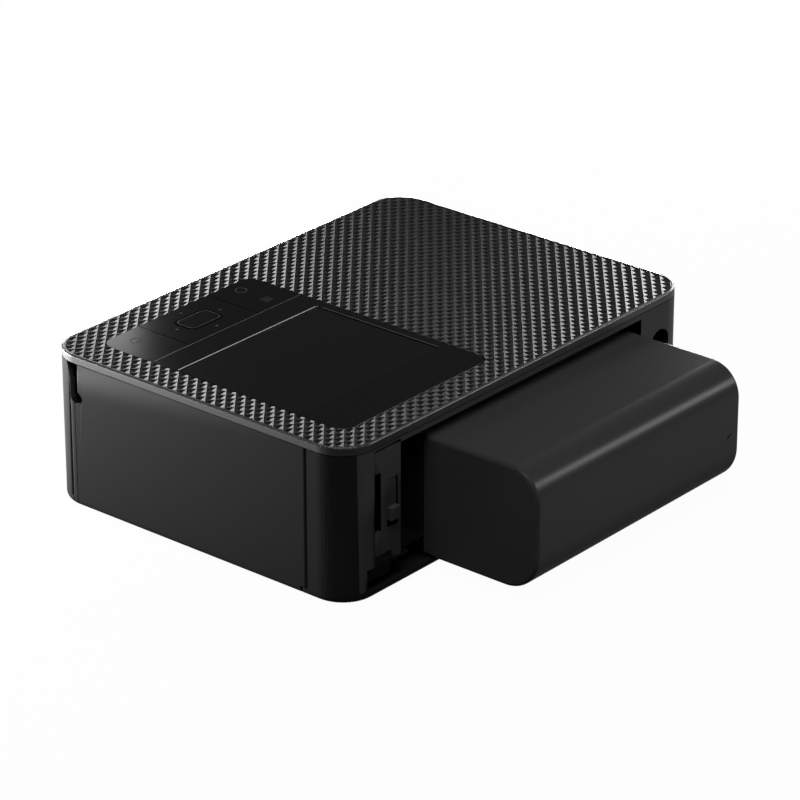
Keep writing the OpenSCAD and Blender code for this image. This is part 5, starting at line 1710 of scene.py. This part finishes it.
@dataclass
class Studio:
    """Floor, world, lamps and camera."""

    floor_r: float = 3.4
    pool_r: float = 0.62
    pool_fade: float = 1.4  # the white that mirrors see ends at this many pool radii
    far_share: float = 0.1
    beside: Point = (0.0, 0.03)  # metres from the part's sides between which its shade ends
    beside_share: Point = (0.1, 0.85)
    ahead: Point = (0.07, 0.15)  # metres before the part between which its near corner's shade starts
    ahead_share: Point = (1.0, 0.1)
    world_strength: float = 0.03
    white_share: float = 0.97  # how much of the paper's colour is plain white, as seen
    paper_grey: float = 0.5
    bounce_grey: float = 0.08  # what the paper throws back on the part
    footprint: Point = (0.0911, 0.0885)
    near_way: Point = (0.766, 0.643)  # flat direction of the part's near corner
    wall_rise: float = 2.35
    curve_r: float = 0.6
    eye: tuple[float, float, float] = (0.96839, 0.80539, 0.61185)
    target: tuple[float, float, float] = (0.00872, -0.00273, 0.03394)
    roll: float = -0.03
    lens: float = 183.24
    lamps: Sequence[Softbox] = (
        Softbox("left_box", 242.0, 19.0, 0.55, (0.12, 0.155), 0.42),
        Softbox("right_box", 195.0, 20.0, 0.55, (0.12, 0.155), 0.55),
        Softbox("pack_box", 138.0, 20.0, 1.2, (0.34, 0.2), 5.2),
        Softbox("back_strip", 225.0, 0.0, 0.7, (0.9, 0.05), 7.5),  # lies below the cover's level
        Softbox("top_box", 35.0, 62.0, 1.5, (1.2, 0.8), 20.0),
        Softbox("door_strip", 299.0, 0.0, 0.35, (0.2, 0.05), 5.0),
    )

    def _floor(self) -> bpy.types.Object:
        """Build the floor and the low wall that it curves up into.

        Returns:
            The floor.
        """
        profile = [(0.0, 0.0), (self.floor_r, 0.0)]
        for k in range(1, 9):
            angle = math.radians(90 * k / 8)
            profile.append(
                (self.floor_r + self.curve_r * math.sin(angle), self.curve_r * (1 - math.cos(angle)))
            )
        profile.append((self.floor_r + self.curve_r, self.wall_rise))
        mesh = bmesh.new()
        turns = [math.tau * k / 64 for k in range(64)]
        rings = [
            [mesh.verts.new((r * math.cos(turn), r * math.sin(turn), z)) for turn in turns]
            for r, z in profile[1:]
        ]
        mesh.faces.new(rings[0])
        for low, high in zip(rings, rings[1:]):
            for k in range(64):
                n = (k + 1) % 64
                mesh.faces.new((low[k], low[n], high[n], high[k]))
        floor = to_object(mesh, "floor", ())
        floor.data.materials.append(self._paper())
        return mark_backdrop(floor)

    def _paper(self) -> bpy.types.Material:
        """Make white paper that keeps part of the shadow that falls on it.

        Returns:
            The paper's material.
        """
        material = bpy.data.materials.new("floor_paper")
        material.use_nodes = True
        graph = Graph(material.node_tree)
        out = material.node_tree.nodes["Material Output"]
        path = graph.add("ShaderNodeLightPath").outputs
        extra = self.paper_grey - self.bounce_grey
        grey = graph.sum("MULTIPLY_ADD", path["Is Camera Ray"], extra, self.bounce_grey)
        paper = graph.add("ShaderNodeBsdfDiffuse", None, Color=grey)
        glow = graph.add("ShaderNodeEmission", None, Color=(1, 1, 1, 1), Strength=1.0)
        where = graph.add("ShaderNodeTexCoord").outputs["Object"]
        mirrored = graph.sum("MAXIMUM", path["Is Glossy Ray"], path["Is Transmission Ray"])
        shaded = graph.sum("MULTIPLY", mirrored, self._own_shade(graph, where))
        reach = graph.add("ShaderNodeVectorMath", {"operation": "LENGTH"}, Vector=where).outputs["Value"]
        pool = graph.add(
            "ShaderNodeMapRange",
            None,
            Value=reach,
            From_Min=self.pool_r,
            From_Max=self.pool_r * self.pool_fade,
            To_Min=self.white_share,
            To_Max=self.far_share,
        )
        seen = graph.sum("MULTIPLY", path["Is Camera Ray"], self.white_share)
        share = graph.sum("MAXIMUM", seen, graph.sum("MULTIPLY", shaded, pool.outputs["Result"]))
        mix = graph.add("ShaderNodeMixShader", None, Fac=share)
        graph.tree.links.new(paper.outputs[0], mix.inputs[1])
        graph.tree.links.new(glow.outputs[0], mix.inputs[2])
        graph.feed(out.inputs["Surface"], mix.outputs[0])
        return material

    def _own_shade(self, graph: Graph, where: bpy.types.NodeSocket) -> bpy.types.NodeSocket:
        """Dim the floor as mirrors see it, close to the part and before its near corner.

        Args:
            graph: The floor's nodes.
            where: Object coordinates.

        Returns:
            The share of the white that is left.
        """
        spot = graph.add("ShaderNodeSeparateXYZ", None, Vector=where).outputs
        beside = [
            graph.sum("SUBTRACT", graph.sum("ABSOLUTE", spot[axis]), half)
            for axis, half in zip(("X", "Y"), self.footprint)
        ]
        gap = graph.sum("MAXIMUM", *beside)
        sideways = graph.sum("MULTIPLY", spot["Y"], self.near_way[1])
        ahead = graph.sum("MULTIPLY_ADD", spot["X"], self.near_way[0], sideways)
        close, near = (
            graph.add(
                "ShaderNodeMapRange",
                None,
                Value=value,
                From_Min=start,
                From_Max=end,
                To_Min=first,
                To_Max=last,
            )
            for value, (start, end), (first, last) in (
                (gap, self.beside, self.beside_share),
                (ahead, self.ahead, self.ahead_share),
            )
        )
        return graph.sum("MULTIPLY", close.outputs["Result"], near.outputs["Result"])

    def _world(self) -> None:
        """Fill the room above the floor with dim, even light."""
        world = bpy.data.worlds.new("room")
        bpy.context.scene.world = world
        world.use_nodes = True
        shade = world.node_tree.nodes["Background"]
        shade.inputs["Color"].default_value = (1, 1, 1, 1)
        shade.inputs["Strength"].default_value = self.world_strength

    def _camera(self) -> None:
        """Set the camera at the object's viewing angle."""
        camera = bpy.data.cameras.new("camera")
        camera.lens = self.lens
        camera.sensor_width = 36
        camera.clip_end = 50
        eye = bpy.data.objects.new("camera", camera)
        look = (Vector(self.target) - Vector(self.eye)).to_track_quat("-Z", "Y").to_matrix()
        turn = look @ Matrix.Rotation(math.radians(self.roll), 3, "Z")
        eye.matrix_world = Matrix.Translation(Vector(self.eye)) @ turn.to_4x4()
        bpy.context.scene.collection.objects.link(eye)
        bpy.context.scene.camera = eye

    def build(self) -> None:
        """Set up the whole studio."""
        self._floor()
        self._world()
        self._camera()
        for lamp in self.lamps:
            lamp.build()
        bpy.context.scene.view_settings.view_transform = "Standard"


# ------------------------------------------------------------------------- main


def main() -> None:
    """Load the frame and build every sub-assembly in order."""
    logging.basicConfig(level=logging.INFO, format="%(name)s: %(message)s")
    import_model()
    assemblies = (
        Case(), ControlPanel(), Doors(), RearFace(), BatteryPack(), Chassis(), Rollers(), PrintHead(),
        Drive(), InkCassette(), Fan(),
    )
    for assembly in assemblies:
        for piece in assembly.build():
            faces = len(piece.data.polygons)
            LOG.info("%s: %s, %d faces", type(assembly).__name__, piece.name, faces)
    Studio().build()


if __name__ == "__main__":
    main()
